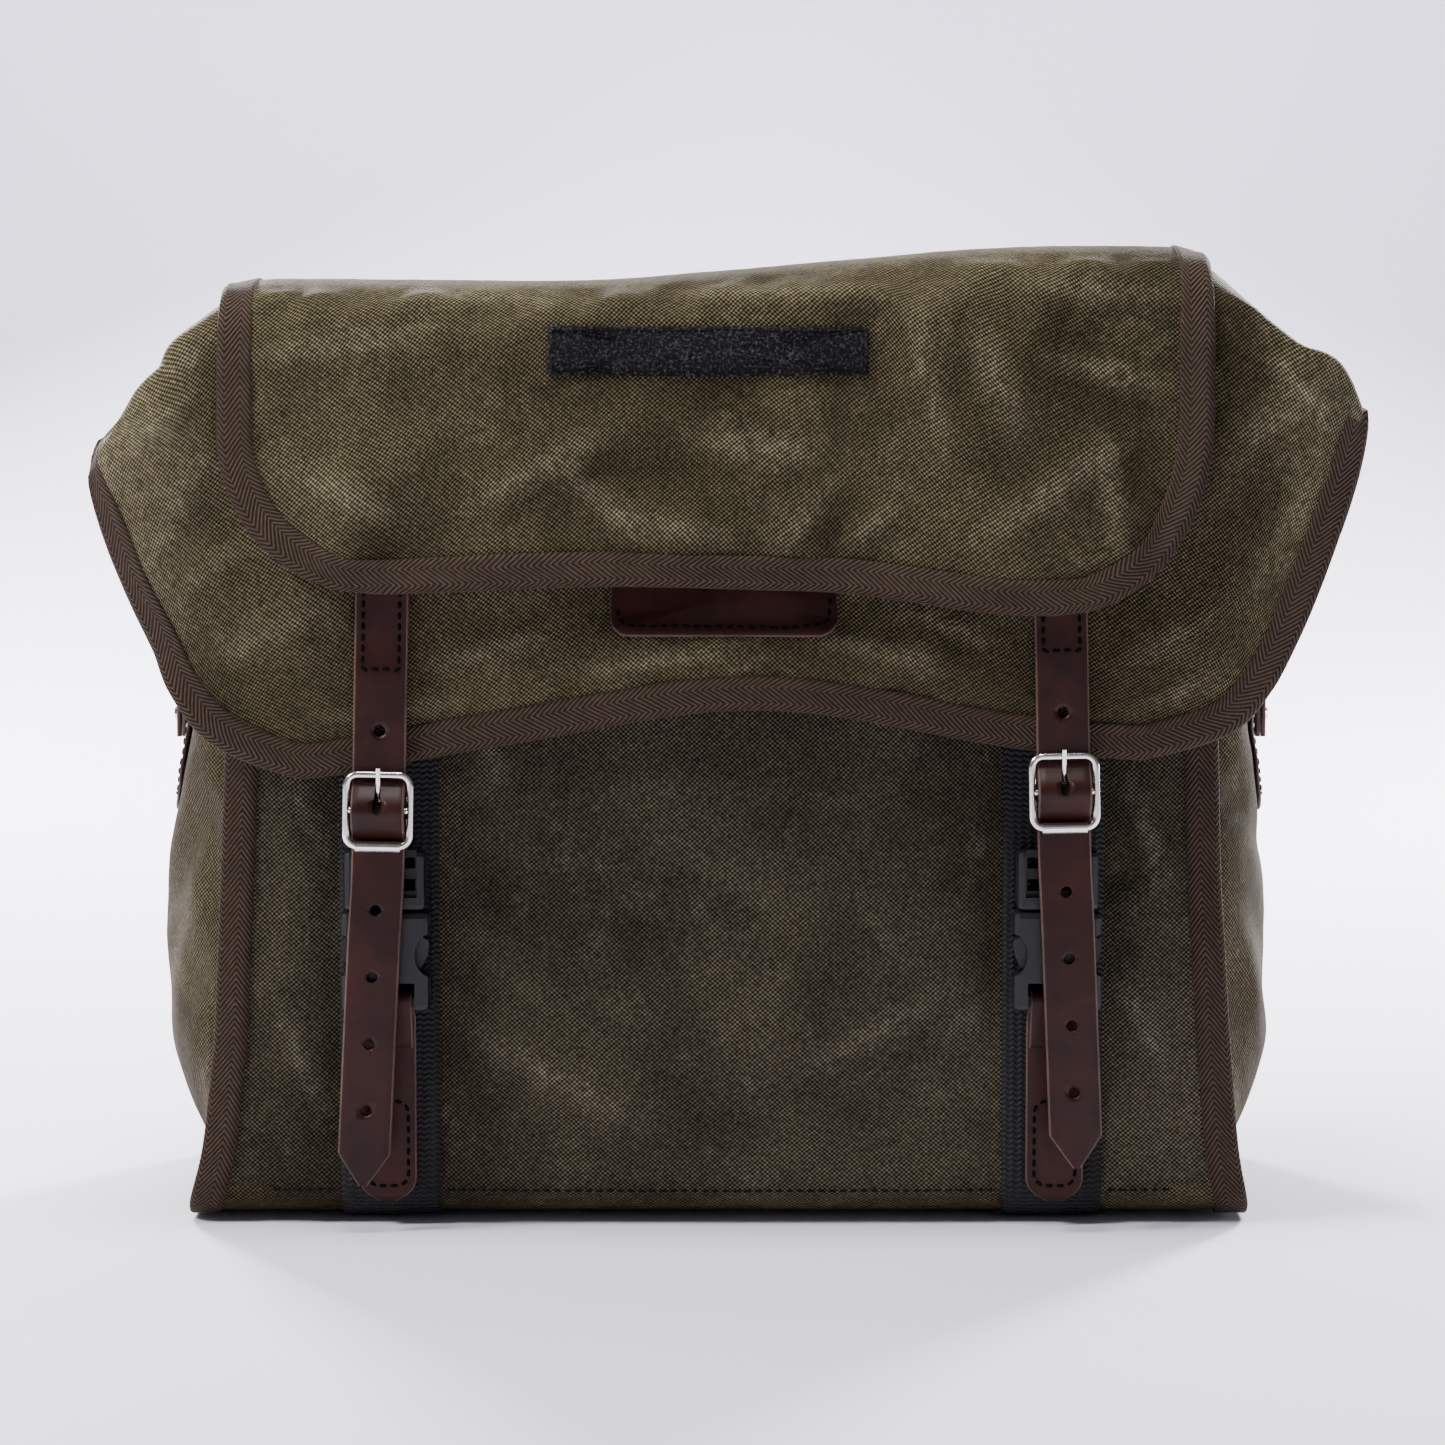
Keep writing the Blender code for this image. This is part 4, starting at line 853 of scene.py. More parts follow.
LID_PROFILE = [
    (94.4, 318.3), (94.2, 332), (90, 345), (78, 352), (40, 356.5), (-20, 358), (-55, 356.5),
    (-74, 351), (-84, 340), (-87, 324), (-87, 300), (-87, 270), (-87, 240), (-87, 210), (-87, 181),
]
LID_EDGE = [
    (180, 94.4, 318.3), (206, 94, 323), (218, 88, 318), (224, 74, 311), (227, 40, 304),
    (228, -10, 301), (231, -45, 299), (236, -68, 296), (240, -81, 290), (236, -87, 270),
    (227, -88, 247), (216, -88, 224), (205, -88, 205), (190, -87.5, 190), (158, -87, 180.5),
]
FLAP_PROFILE = [
    (55, 359.9), (10, 361.6), (-30, 361.8), (-58, 360.2), (-76, 355.5), (-88, 346), (-93.6, 332),
    (-94.3, 315), (-94.3, 290), (-94.3, 265), (-94.3, 243),
]
grids = {}


def lid_surface(u, v):
    across = 2 * u - 1
    side = 1 if across >= 0 else -1
    share = abs(across)
    y, z = along(LID_PROFILE, v)
    ex, ey, ez = along(LID_EDGE, v)
    flat = min(176.0, ex - 27)
    split = 0.74
    if share < split:
        return (side * flat * share / split, y, z)
    t = (share - split) / (1 - split)
    knee = (flat + 0.55 * (ex - flat), 0.4 * y + 0.6 * ey, z)
    point = [
        a * (1 - t) ** 2 + b * 2 * t * (1 - t) + c * t * t
        for a, b, c in zip((flat, y, z), knee, (ex, ey, ez))
    ]
    return (side * point[0], point[1], point[2])


def flap_surface(u, v):
    y, z = along(FLAP_PROFILE, v)
    rise = max(0.0, min(1.0, (z - 243) / 58)) if y < -87 else 1.0
    half = 184.0 - 58 * (1 - math.sqrt(max(0.0, 1 - (1 - rise) ** 2)))
    return (half * (2 * u - 1) - 2.0, y, z)


def settle(p, flap=False):
    """How the lid sits: higher on the right, arched over the bulging front, its ears uneven."""
    x, y, z = p
    wide = abs(x)
    z0 = z
    if y > 80 and z < 341 and not flap:
        sewn = 1 - smooth((z - 319) / 20) * smooth((94.4 - y + 2.2) / 3)
        if z < 319.5:
            return p
    else:
        sewn = 0.0
    z += (4.0 + 6.0 * math.tanh((x - 30) / 85)) * smooth((z0 - 205) / 145)
    z -= 0.10 * max(0.0, min(y, 70.0) + 64)
    z += 2.0 * bell(x, 120, 55) * smooth((z0 - 300) / 50) - 1.8 * bell(x, -60, 60) * smooth((z0 - 300) / 50)
    wing = smooth((wide - 174) / 56) * smooth((z0 - 215) / 60)
    behind = smooth((y + 84) / 24)
    z += (12.0 - 15.0 * behind if x > 0 else 9.0 - 17.0 * behind) * wing
    shoulder = smooth((wide - 168) / 36)
    z -= (10.0 if x > 0 else 4.0) * shoulder * smooth((z0 - 303) / 26)
    if not flap:
        if x < 0:
            ear = smooth((z0 - 287) / 12) * (1 - smooth((z0 - 318) / 30))
            x += 12.0 * smooth((wide - 190) / 30) * ear * (1 - behind)
        x += (2.0 - 5.0 * behind if x > 0 else -2.5 + 14.0 * behind) * wing
        low = 1 - smooth((z0 - 178) / 85)
        z += (18.5 * bell(x, 12, 82) - 8.0 * bell(x, -160, 45) - 1.5 * bell(x, 150, 50)) * low
        y -= 9.0 * bell(x, 12, 78) * low * smooth(-y / 80)
    else:
        low = 1 - smooth((z0 - 243) / 75)
        z += (-9.5 * smooth((x - 30) / 90) + 3.0 * bell(x, -40, 60)) * low * smooth(-y / 90)
        y -= (2.2 * bell(x, 0, 90) * low + 6.0 * (1 - smooth((z0 - 240) / 96))) * smooth(-y / 90)
    return tuple(a * sewn + b * (1 - sewn) for a, b in zip(p, (x, y, z)))


def settled(grid, flap=False):
    shape = grid.shape
    return np.array([settle(p, flap) for p in grid.reshape(-1, 3)]).reshape(shape)


def curled(grid):
    """The lid's side edges roll back towards the gussets, the left one most."""
    grid = grid.copy()
    for j in range(grid.shape[0]):
        for ends, reach, most in ((slice(None), 20.0, 58.0), (slice(None, None, -1), 15.0, 26.0)):
            row = grid[j, ends]
            z = row[0][2]
            ends_off = smooth((grid.shape[0] - 1 - j) / 18) * smooth((j - 8) / 26)
            amount = most * smooth((z - 196) / 26) * ends_off
            if amount <= 0.5:
                continue
            distance = lengths(row)
            last = int(np.searchsorted(distance, reach))
            place = row[last].copy()
            moved = [place.copy()]
            for k in range(last - 1, -1, -1):
                step = row[k] - row[k + 1]
                bend = math.radians(amount) * smooth(1.6 * (1 - distance[k] / reach))
                side = math.copysign(1.0, step[0])
                dx, dy = abs(step[0]), step[1]
                place = place + np.array([
                    side * (dx * math.cos(bend) - dy * math.sin(bend)),
                    dx * math.sin(bend) + dy * math.cos(bend),
                    step[2],
                ])
                moved.append(place.copy())
            for k, value in zip(range(last, -1, -1), moved):
                row[k] = value
    return grid


def lay_on(grid, points, lift):
    """Puts points, given square on as (x, z), onto the front of a grid, lifted off it."""
    tree = tree_of(grid)
    placed = []
    for x, z in points:
        hit, normal, _, _ = tree.ray_cast(Vector((x, -300, z)), Vector((0, 1, 0)))
        if hit is None:
            hit, normal, _, _ = tree.find_nearest(Vector((x, -100, z)))
        normal = np.array(normal)
        if normal[1] > 0:
            normal = -normal
        placed.append(np.array(hit) + normal * lift)
    return np.array(placed)


def rounded_outline(x0, x1, z0, z1, radius, steps=6):
    left, right, low, high = x0 + radius, x1 - radius, z0 + radius, z1 - radius
    points = []
    for cx, cz, start in ((right, high, 0), (left, high, 90), (left, low, 180), (right, low, 270)):
        for s in range(steps + 1):
            a = math.radians(start + 90 * s / steps)
            points.append((cx + radius * math.cos(a), cz + radius * math.sin(a)))
    return points


def leather_patch(name, grid, outline, lift, thick, materials):
    """A piece of leather or tape with a rolled edge, from an outline seen square on, laid on a grid."""
    outline = np.array(outline, float)
    centre, count = outline.mean(axis=0), len(outline)
    tangent = np.roll(outline, -1, axis=0) - np.roll(outline, 1, axis=0)
    inward = np.stack([-tangent[:, 1], tangent[:, 0]], axis=1)
    inward /= np.linalg.norm(inward, axis=1, keepdims=True)
    roll = [(0.0, -0.5), (0.0, 0.16), (0.22, 0.36), (0.7, 0.48), (1.8, 0.5)]
    rings = [lay_on(grid, outline + inward * inset, lift + thick * (0.5 + height)) for inset, height in roll]
    rim = outline + inward * roll[-1][0]
    for share in (0.84, 0.66, 0.46, 0.24):
        rings.append(lay_on(grid, centre + (rim - centre) * share, lift + thick))
    vertices = [p for ring in rings for p in ring] + [lay_on(grid, [centre], lift + thick)[0]]
    faces = ring_faces(len(rings), count)
    hub, last = len(vertices) - 1, (len(rings) - 1) * count
    faces += [(last + i, last + (i + 1) % count, hub) for i in range(count)]
    indices = [1 if i < 2 * count else 0 for i in range(len(faces))]
    uv = np.array([(v[0], v[2]) for v in vertices]) * MM
    return mesh_object(name, np.array(vertices) * MM, faces, materials, uv, indices)


def laid_strip(grid, half, count, heights, lift):
    """A flat strip of this half width, laid on the front of a grid."""
    across = np.linspace(-half, half, count)
    return np.array([lay_on(grid, [(x, z + 3) for x in across], lift) for z in heights])


def make_lid():
    body = "lid"
    grid = even_rows(lid_surface, 96, 104)
    grid = curled(settled(grid))
    rows, columns = grid.shape[:2]
    pins = edge_mask(rows, columns, 4, 4, 4, 5)
    rim = 1 - 0.85 * edge_mask(rows, columns, 4, 4, 0, 5)
    strap_near = over(grid, lambda x, y, z: (
        (1 - smooth((abs(abs(x) - 128) - 11) / 12)) * (1 - smooth((z - 268) / 20)) if y < -60 else 0.0
    ))
    covered = over(grid, lambda x, y, z: bell(x, 0, 60) ** 4 * (1 if 222 < z < 262 and y < -60 else 0))
    under = over(grid, lambda x, y, z: smooth((178 - abs(x)) / 12) * smooth((z - 246) / 14))
    pins = np.maximum(pins, 0.9 * np.maximum(strap_near, under * 0.9))
    rear = np.array([smooth((j - 8) / 18) for j in range(rows)])[:, None]
    pins = np.maximum(pins, 0.9 * (1 - rear))
    free = rear * rim * (1 - np.clip(np.maximum(np.maximum(strap_near, covered * 0.7), under), 0, 1))
    grid = buckled(grid, pins, 0.018, low=-2.0, high=4.0, free=free)
    wear_and_highlight = np.zeros((rows, columns))
    creases = [
        (-228, 286, -196, 318, 5, 1.6), (-212, 250, -192, 300, 8, 1.8), (-205, 240, -178, 262, 6, 1.4),
        (-190, 216, -150, 236, 9, 1.5), (-110, 214, -60, 226, 7, 1.3), (-52, 212, 8, 222, 6, 1.2),
        (30, 226, 82, 214, 7, 1.4), (64, 236, 108, 220, 6, 1.2), (150, 214, 190, 236, 8, 1.4),
        (196, 240, 222, 282, 7, 1.8), (190, 300, 226, 312, 6, 1.5), (184, 268, 206, 318, 8, -1.6),
        (-206, 318, -190, 338, 6, 1.4), (206, 330, 226, 306, 5, 1.3), (160, 200, 186, 208, 6, 1.0),
        (-150, 194, -96, 202, 6, 0.9), (-226, 262, -206, 236, 5, 1.2),
    ]
    grid, wear_and_highlight = creased(grid, creases, wear_and_highlight)
    folds = [
        (204, 322, 206, 244, 14, -3.4), (222, 300, 214, 262, 9, 2.2), (-204, 330, -214, 262, 13, 2.4),
        (-196, 300, -176, 232, 14, -2.6), (-176, 236, -144, 206, 13, 2.4), (60, 236, 96, 204, 12, 2.2),
        (-70, 226, -24, 216, 11, 2.0), (170, 222, 196, 214, 12, 2.4),
    ]
    grid, _ = creased(grid, folds, np.zeros((rows, columns)), rim=free)
    grid = rumpled(grid, 0.7, 30, 21.0, free)
    grids["lid"] = grid
    # Paler towards both wing ends: a painted highlight on the lid's wings, added to the crease wear.
    wear_and_highlight = wear_and_highlight + 0.35 * np.clip((np.abs(grid[..., 0]) - 186) / 45, 0, 1)
    panel = fabric("lid_cloth", grid, 2 * HALF, CANVAS, wear_and_highlight)
    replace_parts(panel, "lid_panel")
    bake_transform(panel)

    first = 7
    edge = np.concatenate([grid[first:, 0], grid[-1, 1:], grid[first:-1, -1][::-1]])
    tape = folded_tape("lid_tape", edge, grid, (0, 0, 300))
    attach(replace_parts(tape, "lid_binding"), body)

    outline = rounded_outline(-41, 43.5, 225.0, 254, 6.5)
    label = leather_patch("label_leather", grid, outline, 1.2, 1.9, [LEATHER, EDGE])
    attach(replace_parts(label, "lid_label"), body)
    outline = rounded_outline(-38.0, 40.5, 228.2, 251, 4.6)
    points = lay_on(grid, densify(outline, 2.0), 3.25)
    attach(stitches("label_stitches", [(points, (0, -1, 0))], *SADDLE), body)

    pocket = laid_strip(grid, 112, 60, np.linspace(336, 266, 26), 1.55)
    obj = fabric("pocket_cloth", pocket, 1.1, CANVAS, np.zeros(pocket.shape[:2]))
    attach(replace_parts(obj, "pocket_panel"), body)
    loop = laid_strip(pocket, 60, 50, np.linspace(322, 306, 9), 1.15)
    obj = fabric("pocket_loop_pile", loop, 0.9, LOOP, levels=0)
    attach(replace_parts(obj, "pocket_loop_tape"), body)


def make_overflap():
    body = "overflap"
    grid = even_rows(flap_surface, 86, 84)
    grid = settled(grid, True)
    rows, columns = grid.shape[:2]
    pins = edge_mask(rows, columns, 4, 4, 4, 4)
    rim = 1 - 0.85 * edge_mask(rows, columns, 4, 4, 0, 4)
    strip = over(grid, lambda x, y, z: bell(x, -5, 66) ** 4 * bell(z, 333, 14) ** 2 * (1 if y < -60 else 0))
    ridge = over(grid, lambda x, y, z: smooth((y + 84) / 14))
    pins = np.maximum(pins, np.maximum(0.6 * strip, 0.85 * ridge))
    free = rim * (1 - 0.75 * strip) * (1 - 0.8 * ridge)
    grid = buckled(grid, pins, 0.022, low=-1.2, high=4.5, free=free)
    wear_and_highlight = np.zeros((rows, columns))
    creases = [
        (72, 347, 84, 292, 8, 4.2), (56, 352, 70, 318, 8, -2.8), (96, 338, 112, 300, 13, 3.4),
        (92, 352, 98, 322, 6, -1.8), (-96, 274, -38, 302, 11, 3.2), (-40, 268, 8, 262, 9, 2.6),
        (-84, 258, -56, 284, 8, -2.2), (-58, 288, -28, 262, 7, 2.0), (20, 258, 44, 286, 8, 2.8),
        (44, 256, 66, 276, 6, 2.2), (6, 282, 22, 258, 7, -1.8), (96, 262, 150, 300, 12, 2.6),
        (-166, 330, -110, 338, 9, 1.2), (-160, 290, -120, 268, 12, 1.3), (120, 330, 168, 318, 10, 1.4),
        (-10, 300, 40, 292, 14, 1.4), (-130, 352, -50, 349, 7, 1.2), (110, 356, 168, 352, 8, 1.2),
        (-20, 352, 60, 354, 6, 1.0), (140, 300, 150, 250, 7, 1.4),
    ]
    grid, wear_and_highlight = creased(grid, creases, wear_and_highlight)
    folds = [
        (66, 318, 100, 262, 20, -3.6), (118, 312, 152, 258, 17, 3.6), (84, 352, 76, 306, 13, 3.0),
        (-96, 258, -74, 304, 15, -3.0), (-128, 300, -108, 258, 16, 2.4), (-56, 296, -14, 256, 14, 2.8),
        (-20, 300, 6, 262, 13, -2.2), (28, 296, 40, 256, 14, 2.6), (-164, 350, -120, 300, 20, 1.8),
        (120, 352, 168, 330, 16, -1.8),
    ]
    grid, _ = creased(grid, folds, np.zeros((rows, columns)), rim=rim)
    grid = rumpled(grid, 0.7, 32, 31.0, free)
    grids["flap"] = grid
    panel = fabric("overflap_cloth", grid, 2 * HALF, CANVAS, wear_and_highlight)
    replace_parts(panel, "overflap_panel")
    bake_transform(panel)
    first = 5
    edge = np.concatenate([grid[first:, 0], grid[-1, 1:], grid[first:-1, -1][::-1]])
    tape = folded_tape("overflap_tape", edge, grid, (0, -60, 320))
    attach(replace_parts(tape, "overflap_binding"), body)

    outline = rounded_outline(-64.5, 54.5, 322.5, 340.5, 0.8, 2)
    obj = leather_patch("patch_pile", grid, densify(outline, 3.0), 1.0, 1.1, materials=[LOOP, LOOP])
    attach(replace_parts(obj, "patch_strip"), body)
    border = rounded_outline(-62.6, 52.6, 324.2, 338.8, 0.8, 2)
    points = lay_on(grid, densify(border, 3.0), 2.15)
    obj = stitches("patch_stitches", [(points, (0, -1, 0))], LOOP_THREAD, 2.0, 0.8, 0.32)
    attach(obj, body)
    hook = laid_strip(grid, 60, 50, np.linspace(321, 306, 9), -1.65)
    obj = fabric("overflap_hook_pile", hook, 1.2, LOOP, levels=0)
    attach(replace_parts(obj, "overflap_hook_tape"), body)


def densify(outline, step):
    """More points round a closed outline."""
    return densify_open([*outline, outline[0]], step)[:-1]


# --- straps, tabs, patches ------------------------------------------------------------

STRAP_X, FLEX_Y, FLEX_Z, SHIFT = 127.5, -92.6, 211.7, 3.5
LEAN = math.radians(1.2)
BUCKLE_Z, BUCKLE_Y, TIP_Z = 163.7, -94.35, 20.5
STRAP_HALF, STRAP_THICK, HOLE_R, HOLE_PITCH, TOP_HOLE, LOW_HOLES = 10.0, 2.9, 2.1, 25.4, 29.8, -12.6


def strap_frame(side):
    turn = Matrix.Rotation(-side * LEAN, 4, "Y")
    return Matrix.Translation((side * STRAP_X, 0, FLEX_Z + side * SHIFT)) @ turn


def strap_y(z):
    """The strap's middle: flat under its stitches, over the lid's edge, then over the buckle's bar."""
    dz = z - (BUCKLE_Z - FLEX_Z)
    if abs(dz) <= 13.55:
        end = BUCKLE_Y + 3.25 if dz > 0 else BUCKLE_Y + 4.0
        share = abs(dz) / 13.55
        return BUCKLE_Y - 5.2 + (end - BUCKLE_Y + 5.2) * (0.5 - 0.5 * math.cos(math.pi * share))
    if dz > 0:
        top = smooth((z + 2) / 20)
        return (BUCKLE_Y + 3.25) * (1 - top) + (-89.85) * top
    return BUCKLE_Y + 4.0 + 1.0 * math.sin((dz + 13.55) / 44) + 0.6


def ribbon(name, rows, place, half_width, thick, columns=8, corner=0.7):
    """A thick flat strap with rounded edges: place(k) gives its middle and normal as (x, y, z, ny, nz)."""
    rings = []
    for t in rows:
        x, y, z, ny, nz = place(t)
        w = half_width(t)
        half = [(s * (w - corner), -thick / 2) for s in np.linspace(-1, 1, columns)]
        half += [(w - 0.2, -thick / 2 + 0.22), (w, -thick / 2 + corner)]
        half += [(w, thick / 2 - corner), (w - 0.2, thick / 2 - 0.22)]
        section = half + [(-a, -b) for a, b in half]
        rings.append([(x + a, y + b * ny, z + b * nz) for a, b in section])
    count, last = len(rings[0]), (len(rings) - 1) * len(rings[0])
    vertices = [p for ring in rings for p in ring]
    faces = ring_faces(len(rings), count, flip=True)
    faces += [tuple(range(count)), tuple(last + i for i in reversed(range(count)))]
    cut_edge = [1 if columns - 1 <= i < columns + 4 or i >= 2 * columns + 3 else 0 for i in range(count)]
    indices = cut_edge * (len(rings) - 1) + [1, 1]
    uv = np.array([(v[0], v[2]) for v in vertices]) * MM
    return mesh_object(name, np.array(vertices) * MM, faces, [LEATHER, EDGE], uv, indices)


def along_route(route):
    """Places for a ribbon that follows a route of (y, z) points, numbered by its points."""
    route = np.array(route)
    n = np.gradient(route, axis=0)
    n /= np.linalg.norm(n, axis=1, keepdims=True)
    return lambda k: (0.0, route[k][0], route[k][1], n[k][1], -n[k][0])


def follow_path(place_y, drift, step=0.5):
    """Turns y(z) into places with the strap's own normal; the tail drifts sideways below the buckle."""

    def place(z):
        slope = (place_y(z + step) - place_y(z - step)) / (2 * step)
        size = math.hypot(1.0, slope)
        return (drift(z), place_y(z), z, 1.0 / size, -slope / size)

    return place


def cut(obj, meshes):
    for mesh in meshes:
        tool = bpy.data.objects.new("tool", mesh)
        bpy.context.scene.collection.objects.link(tool)
        modifier = obj.modifiers.new("cut", "BOOLEAN")
        modifier.operation = "DIFFERENCE"
        modifier.object = tool
        modifier.solver = "EXACT"
        modifier.material_mode = "TRANSFER"
        apply_all(obj)
        bpy.data.objects.remove(tool)


def rod(radius, length, centre, direction, sides=20, material=None):
    bm = bmesh.new()
    turn = Vector(direction).to_track_quat("Z", "Y").to_matrix().to_4x4()
    bmesh.ops.create_cone(
        bm, cap_ends=True, segments=sides, radius1=radius * MM, radius2=radius * MM, depth=length * MM,
        matrix=Matrix.Translation(Vector(centre) * MM) @ turn,
    )
    mesh = bpy.data.meshes.new("rod")
    bm.to_mesh(mesh)
    bm.free()
    if material:
        mesh.materials.append(material)
    return mesh


def make_straps():
    """The leather straps: a stitched box on the lid, the bend over the buckle, holes and a point."""
    middle = BUCKLE_Z - FLEX_Z
    top, tip = 40.5, TIP_Z - FLEX_Z
    for side, name in SIDES:
        frame_matrix = strap_frame(side)

        def half_width(z):
            from_tip = z - tip
            if from_tip < 13:
                return max(1.6, STRAP_HALF * min(1.0, 0.16 + 0.84 * from_tip / 12.5))
            return STRAP_HALF

        def drift(z, side=side):
            below = max(0.0, middle - 12 - z)
            return side * (0.030 if side < 0 else 0.022) * below * smooth(below / 40)

        rows = list(np.arange(top, middle + 18, -2.5)) + list(np.arange(middle + 18, middle - 18, -1.0))
        rows += list(np.arange(middle - 18, tip + 13, -2.5)) + list(np.arange(tip + 12.5, tip, -1.4)) + [tip]
        strap = ribbon(f"strap_{name}_leather", rows, follow_path(strap_y, drift), half_width, STRAP_THICK)
        holes = []
        for number in (1, -1, -2, -3, -4):
            z = middle + TOP_HOLE if number == 1 else middle + LOW_HOLES + number * HOLE_PITCH
            slope = strap_y(z + 0.5) - strap_y(z - 0.5)
            holes.append(rod(HOLE_R, 9, (drift(z), strap_y(z), z), (0, 1, -slope), 18, HOLE_SHADE))
        slit = rod(1.7, 26, (0, BUCKLE_Y - 2.0, middle + 5.6), (0, 1, 0.9), 14, HOLE_SHADE)
        cut(strap, holes + [slit])
        strap.matrix_world = frame_matrix_m(frame_matrix)
        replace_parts(strap, f"strap_{name}", f"strap_anchor_{name}")
        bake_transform(strap)

        box_top, box_low, w = top - 1, 5.0, 6.8
        outline = [(-w, box_top), (-w, box_low), (w, box_low), (w, box_top)]
        line = [(x, strap_y(z) - 1.7, z) for x, z in densify_open(outline, 1.5)]
        obj = stitches(f"strap_{name}_stitches", [(np.array(line), (0, -1, 0))], *SADDLE)
        obj.matrix_world = frame_matrix_m(frame_matrix)
        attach(obj, "lid")


def frame_matrix_m(matrix):
    turned = matrix.copy()
    turned.translation = matrix.translation * MM
    return turned


def densify_open(points, step):
    made = []
    for a, b in zip(points, points[1:]):
        a, b = np.array(a, float), np.array(b, float)
        count = max(1, int(np.linalg.norm(b - a) / step))
        made += [tuple(a + (b - a) * k / count) for k in range(count)]
    return made + [tuple(points[-1])]


def make_tabs():
    """The leather anchor tabs low on the webbing, folded round the clip's bar."""
    flat_y, low_z, x = FRONT_Y - 2.6 - 0.3 - 1.0, 8.5, 127.0
    bar_y, bar_z, turn = -80.7, 86.3, 3.6
    route = [(flat_y, z) for z in np.arange(low_z, 66, 2.5)]
    route += [(-75.2, 71.0), (-75.6, 75.0), (-76.3, 79.5)]
    for step in range(11):
        a = math.radians(-12 + 204 * step / 10)
        route.append((bar_y + math.cos(a) * turn, bar_z + math.sin(a) * turn))
    route += [(-81.5, 80.0), (-79.8, 76.0), (-78.3, 72.0), (-77.6, 68.0)]

    def half_width(k):
        if k < 8:
            return 11.0 * math.sqrt(max(0.08, 1 - (1 - min(1.0, (route[k][1] - low_z) / 9.0)) ** 2))
        return 11.0 if k < 26 else 10.0

    sewn = densify(rounded_outline(-7.8, 7.8, 14.5, 47.0, 4.5, 4), 1.5)
    line = np.array([(a, flat_y - 1.05, z) for a, z in [*sewn, sewn[0]]])
    for side, name in SIDES:
        place = Matrix.Translation((side * x * MM, 0, 0))
        stations = range(len(route))
        tab = ribbon(f"anchor_tab_{name}_leather", stations, along_route(route), half_width, 2.0, 8, 0.6)
        tab.matrix_world = place
        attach(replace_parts(tab, f"anchor_tab_{name}"), "bag_body")
        obj = stitches(f"anchor_tab_{name}_stitches", [(line, (0, -1, 0))], *SADDLE)
        obj.matrix_world = place
        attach(obj, "bag_body")


def make_side_leather():
    """On each gusset: the stitched patch and the chape that holds the ring."""
    middle, half, low, tall, inset = 3.0, 28, 151, 75, 24.5
    back, front = middle + inset, middle - inset
    seam = [
        (front, 223), (front, 170), (middle - 18, 159), (middle, 154.5), (middle + 18, 159), (back, 170),
        (back, 223), (front, 223),
    ]
    bar_x, bar_z, turn = 214.746, 232, 2.8
    route = [(turn - bar_x, z) for z in np.linspace(179.5, 226, 16)]
    for step in range(9):
        a = math.pi - math.pi * step / 8
        route.append((-(bar_x + turn * math.cos(a)), bar_z + turn * math.sin(a)))
    route += [(-217.4, 226.0), (-215.6, 216.0), (-214.3, 205.0), (-214.15, 190.0), (-214.15, 179.5)]
    for side, name in SIDES:
        tree = tree_of(grids[f"gusset_{name}"])

        def on_side(points, lift):
            placed = []
            for y, z in points:
                hit, _, _, _ = tree.ray_cast(Vector((side * 300, y, z)), Vector((-side, 0, 0)))
                x = hit[0] if hit is not None else side * gusset_x(y, z)
                placed.append((x + side * lift, y, z))
            return np.array(placed)

        patch = []
        for z in np.linspace(low, low + tall, 30):
            share = (z - low) / tall
            wide = half * math.sqrt(min(1.0, 0.10 + 3.4 * share)) if share < 0.27 else half
            patch.append(on_side([(middle + wide * s, z) for s in np.linspace(-1, 1, 17)], 2.2))
        obj = fabric(f"side_patch_{name}_leather", np.array(patch), 2.0, LEATHER)
        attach(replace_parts(obj, f"side_patch_{name}"), "bag_body")
        lines = [(on_side(densify_open(seam, 2.0), 3.3), (side, 0, 0))]
        obj = stitches(f"side_patch_{name}_stitches", lines, *SADDLE)
        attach(obj, "bag_body")
        chape = ribbon(
            f"ring_chape_{name}_leather", range(len(route)), along_route(route), lambda k: 9.5, 1.7, 6, 0.5
        )
        turned = Matrix.Rotation(math.radians(90 * side), 4, "Z")
        chape.matrix_world = Matrix.Translation((0, 10 * MM, 0)) @ turned
        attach(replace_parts(chape, f"ring_chape_{name}"), "bag_body")


def hem_stitches():
    lines = []
    for x0, x1 in ((-172, -147), (-105, 105), (147, 172)):
        points = lay_on(grids["front"], [(x, 12.4) for x in np.linspace(x0, x1, 50)], 1.15)
        lines.append((points, (0, -1, 0)))
    obj = stitches("hem_stitches", lines, CANVAS_THREAD, 2.8, 1.2, 0.5)
    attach(obj, "bag_body")


def make_clips():
    """The clip's socket has a curved notch in each side that shows the sprung arm."""
    for side, name in SIDES:
        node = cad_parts[f"clip_socket_{name}"]
        socket = bpy.data.objects.new(f"clip_socket_{name}_shell", node.data.copy())
        bpy.context.scene.collection.objects.link(socket)
        socket.matrix_world = node.matrix_world
        socket.data.materials.clear()
        socket.data.materials.append(PLASTIC)
        notches = []
        for end in (-1, 1):
            notch = rod(1.0, 20, (0, 0, 0), (0, 1, 0), 32, PLASTIC)
            scale = Matrix.Diagonal((6.0, 1.0, 8.2, 1.0))
            notch.transform(Matrix.Translation(((side * 127 + end * 17.4) * MM, -0.0807, 0.1045)) @ scale)
            notches.append(notch)
        cut(socket, notches)
        bevel(socket, 0.7)
        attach(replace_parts(socket, f"clip_socket_{name}"), "bag_body")
        for key in (f"clip_plug_{name}", f"clip_arm_{name}_outer", f"clip_arm_{name}_inner"):
            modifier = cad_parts[key].modifiers.new("rounded", "BEVEL")
            modifier.width = 0.4 * MM
            modifier.segments = 2
            modifier.limit_method = "ANGLE"


def bevel(obj, width):
    modifier = obj.modifiers.new("rounded", "BEVEL")
    modifier.width = width * MM
    modifier.segments = 3
    modifier.limit_method = "ANGLE"
    modifier.angle_limit = math.radians(35)
    modifier.harden_normals = True
    apply_all(obj)


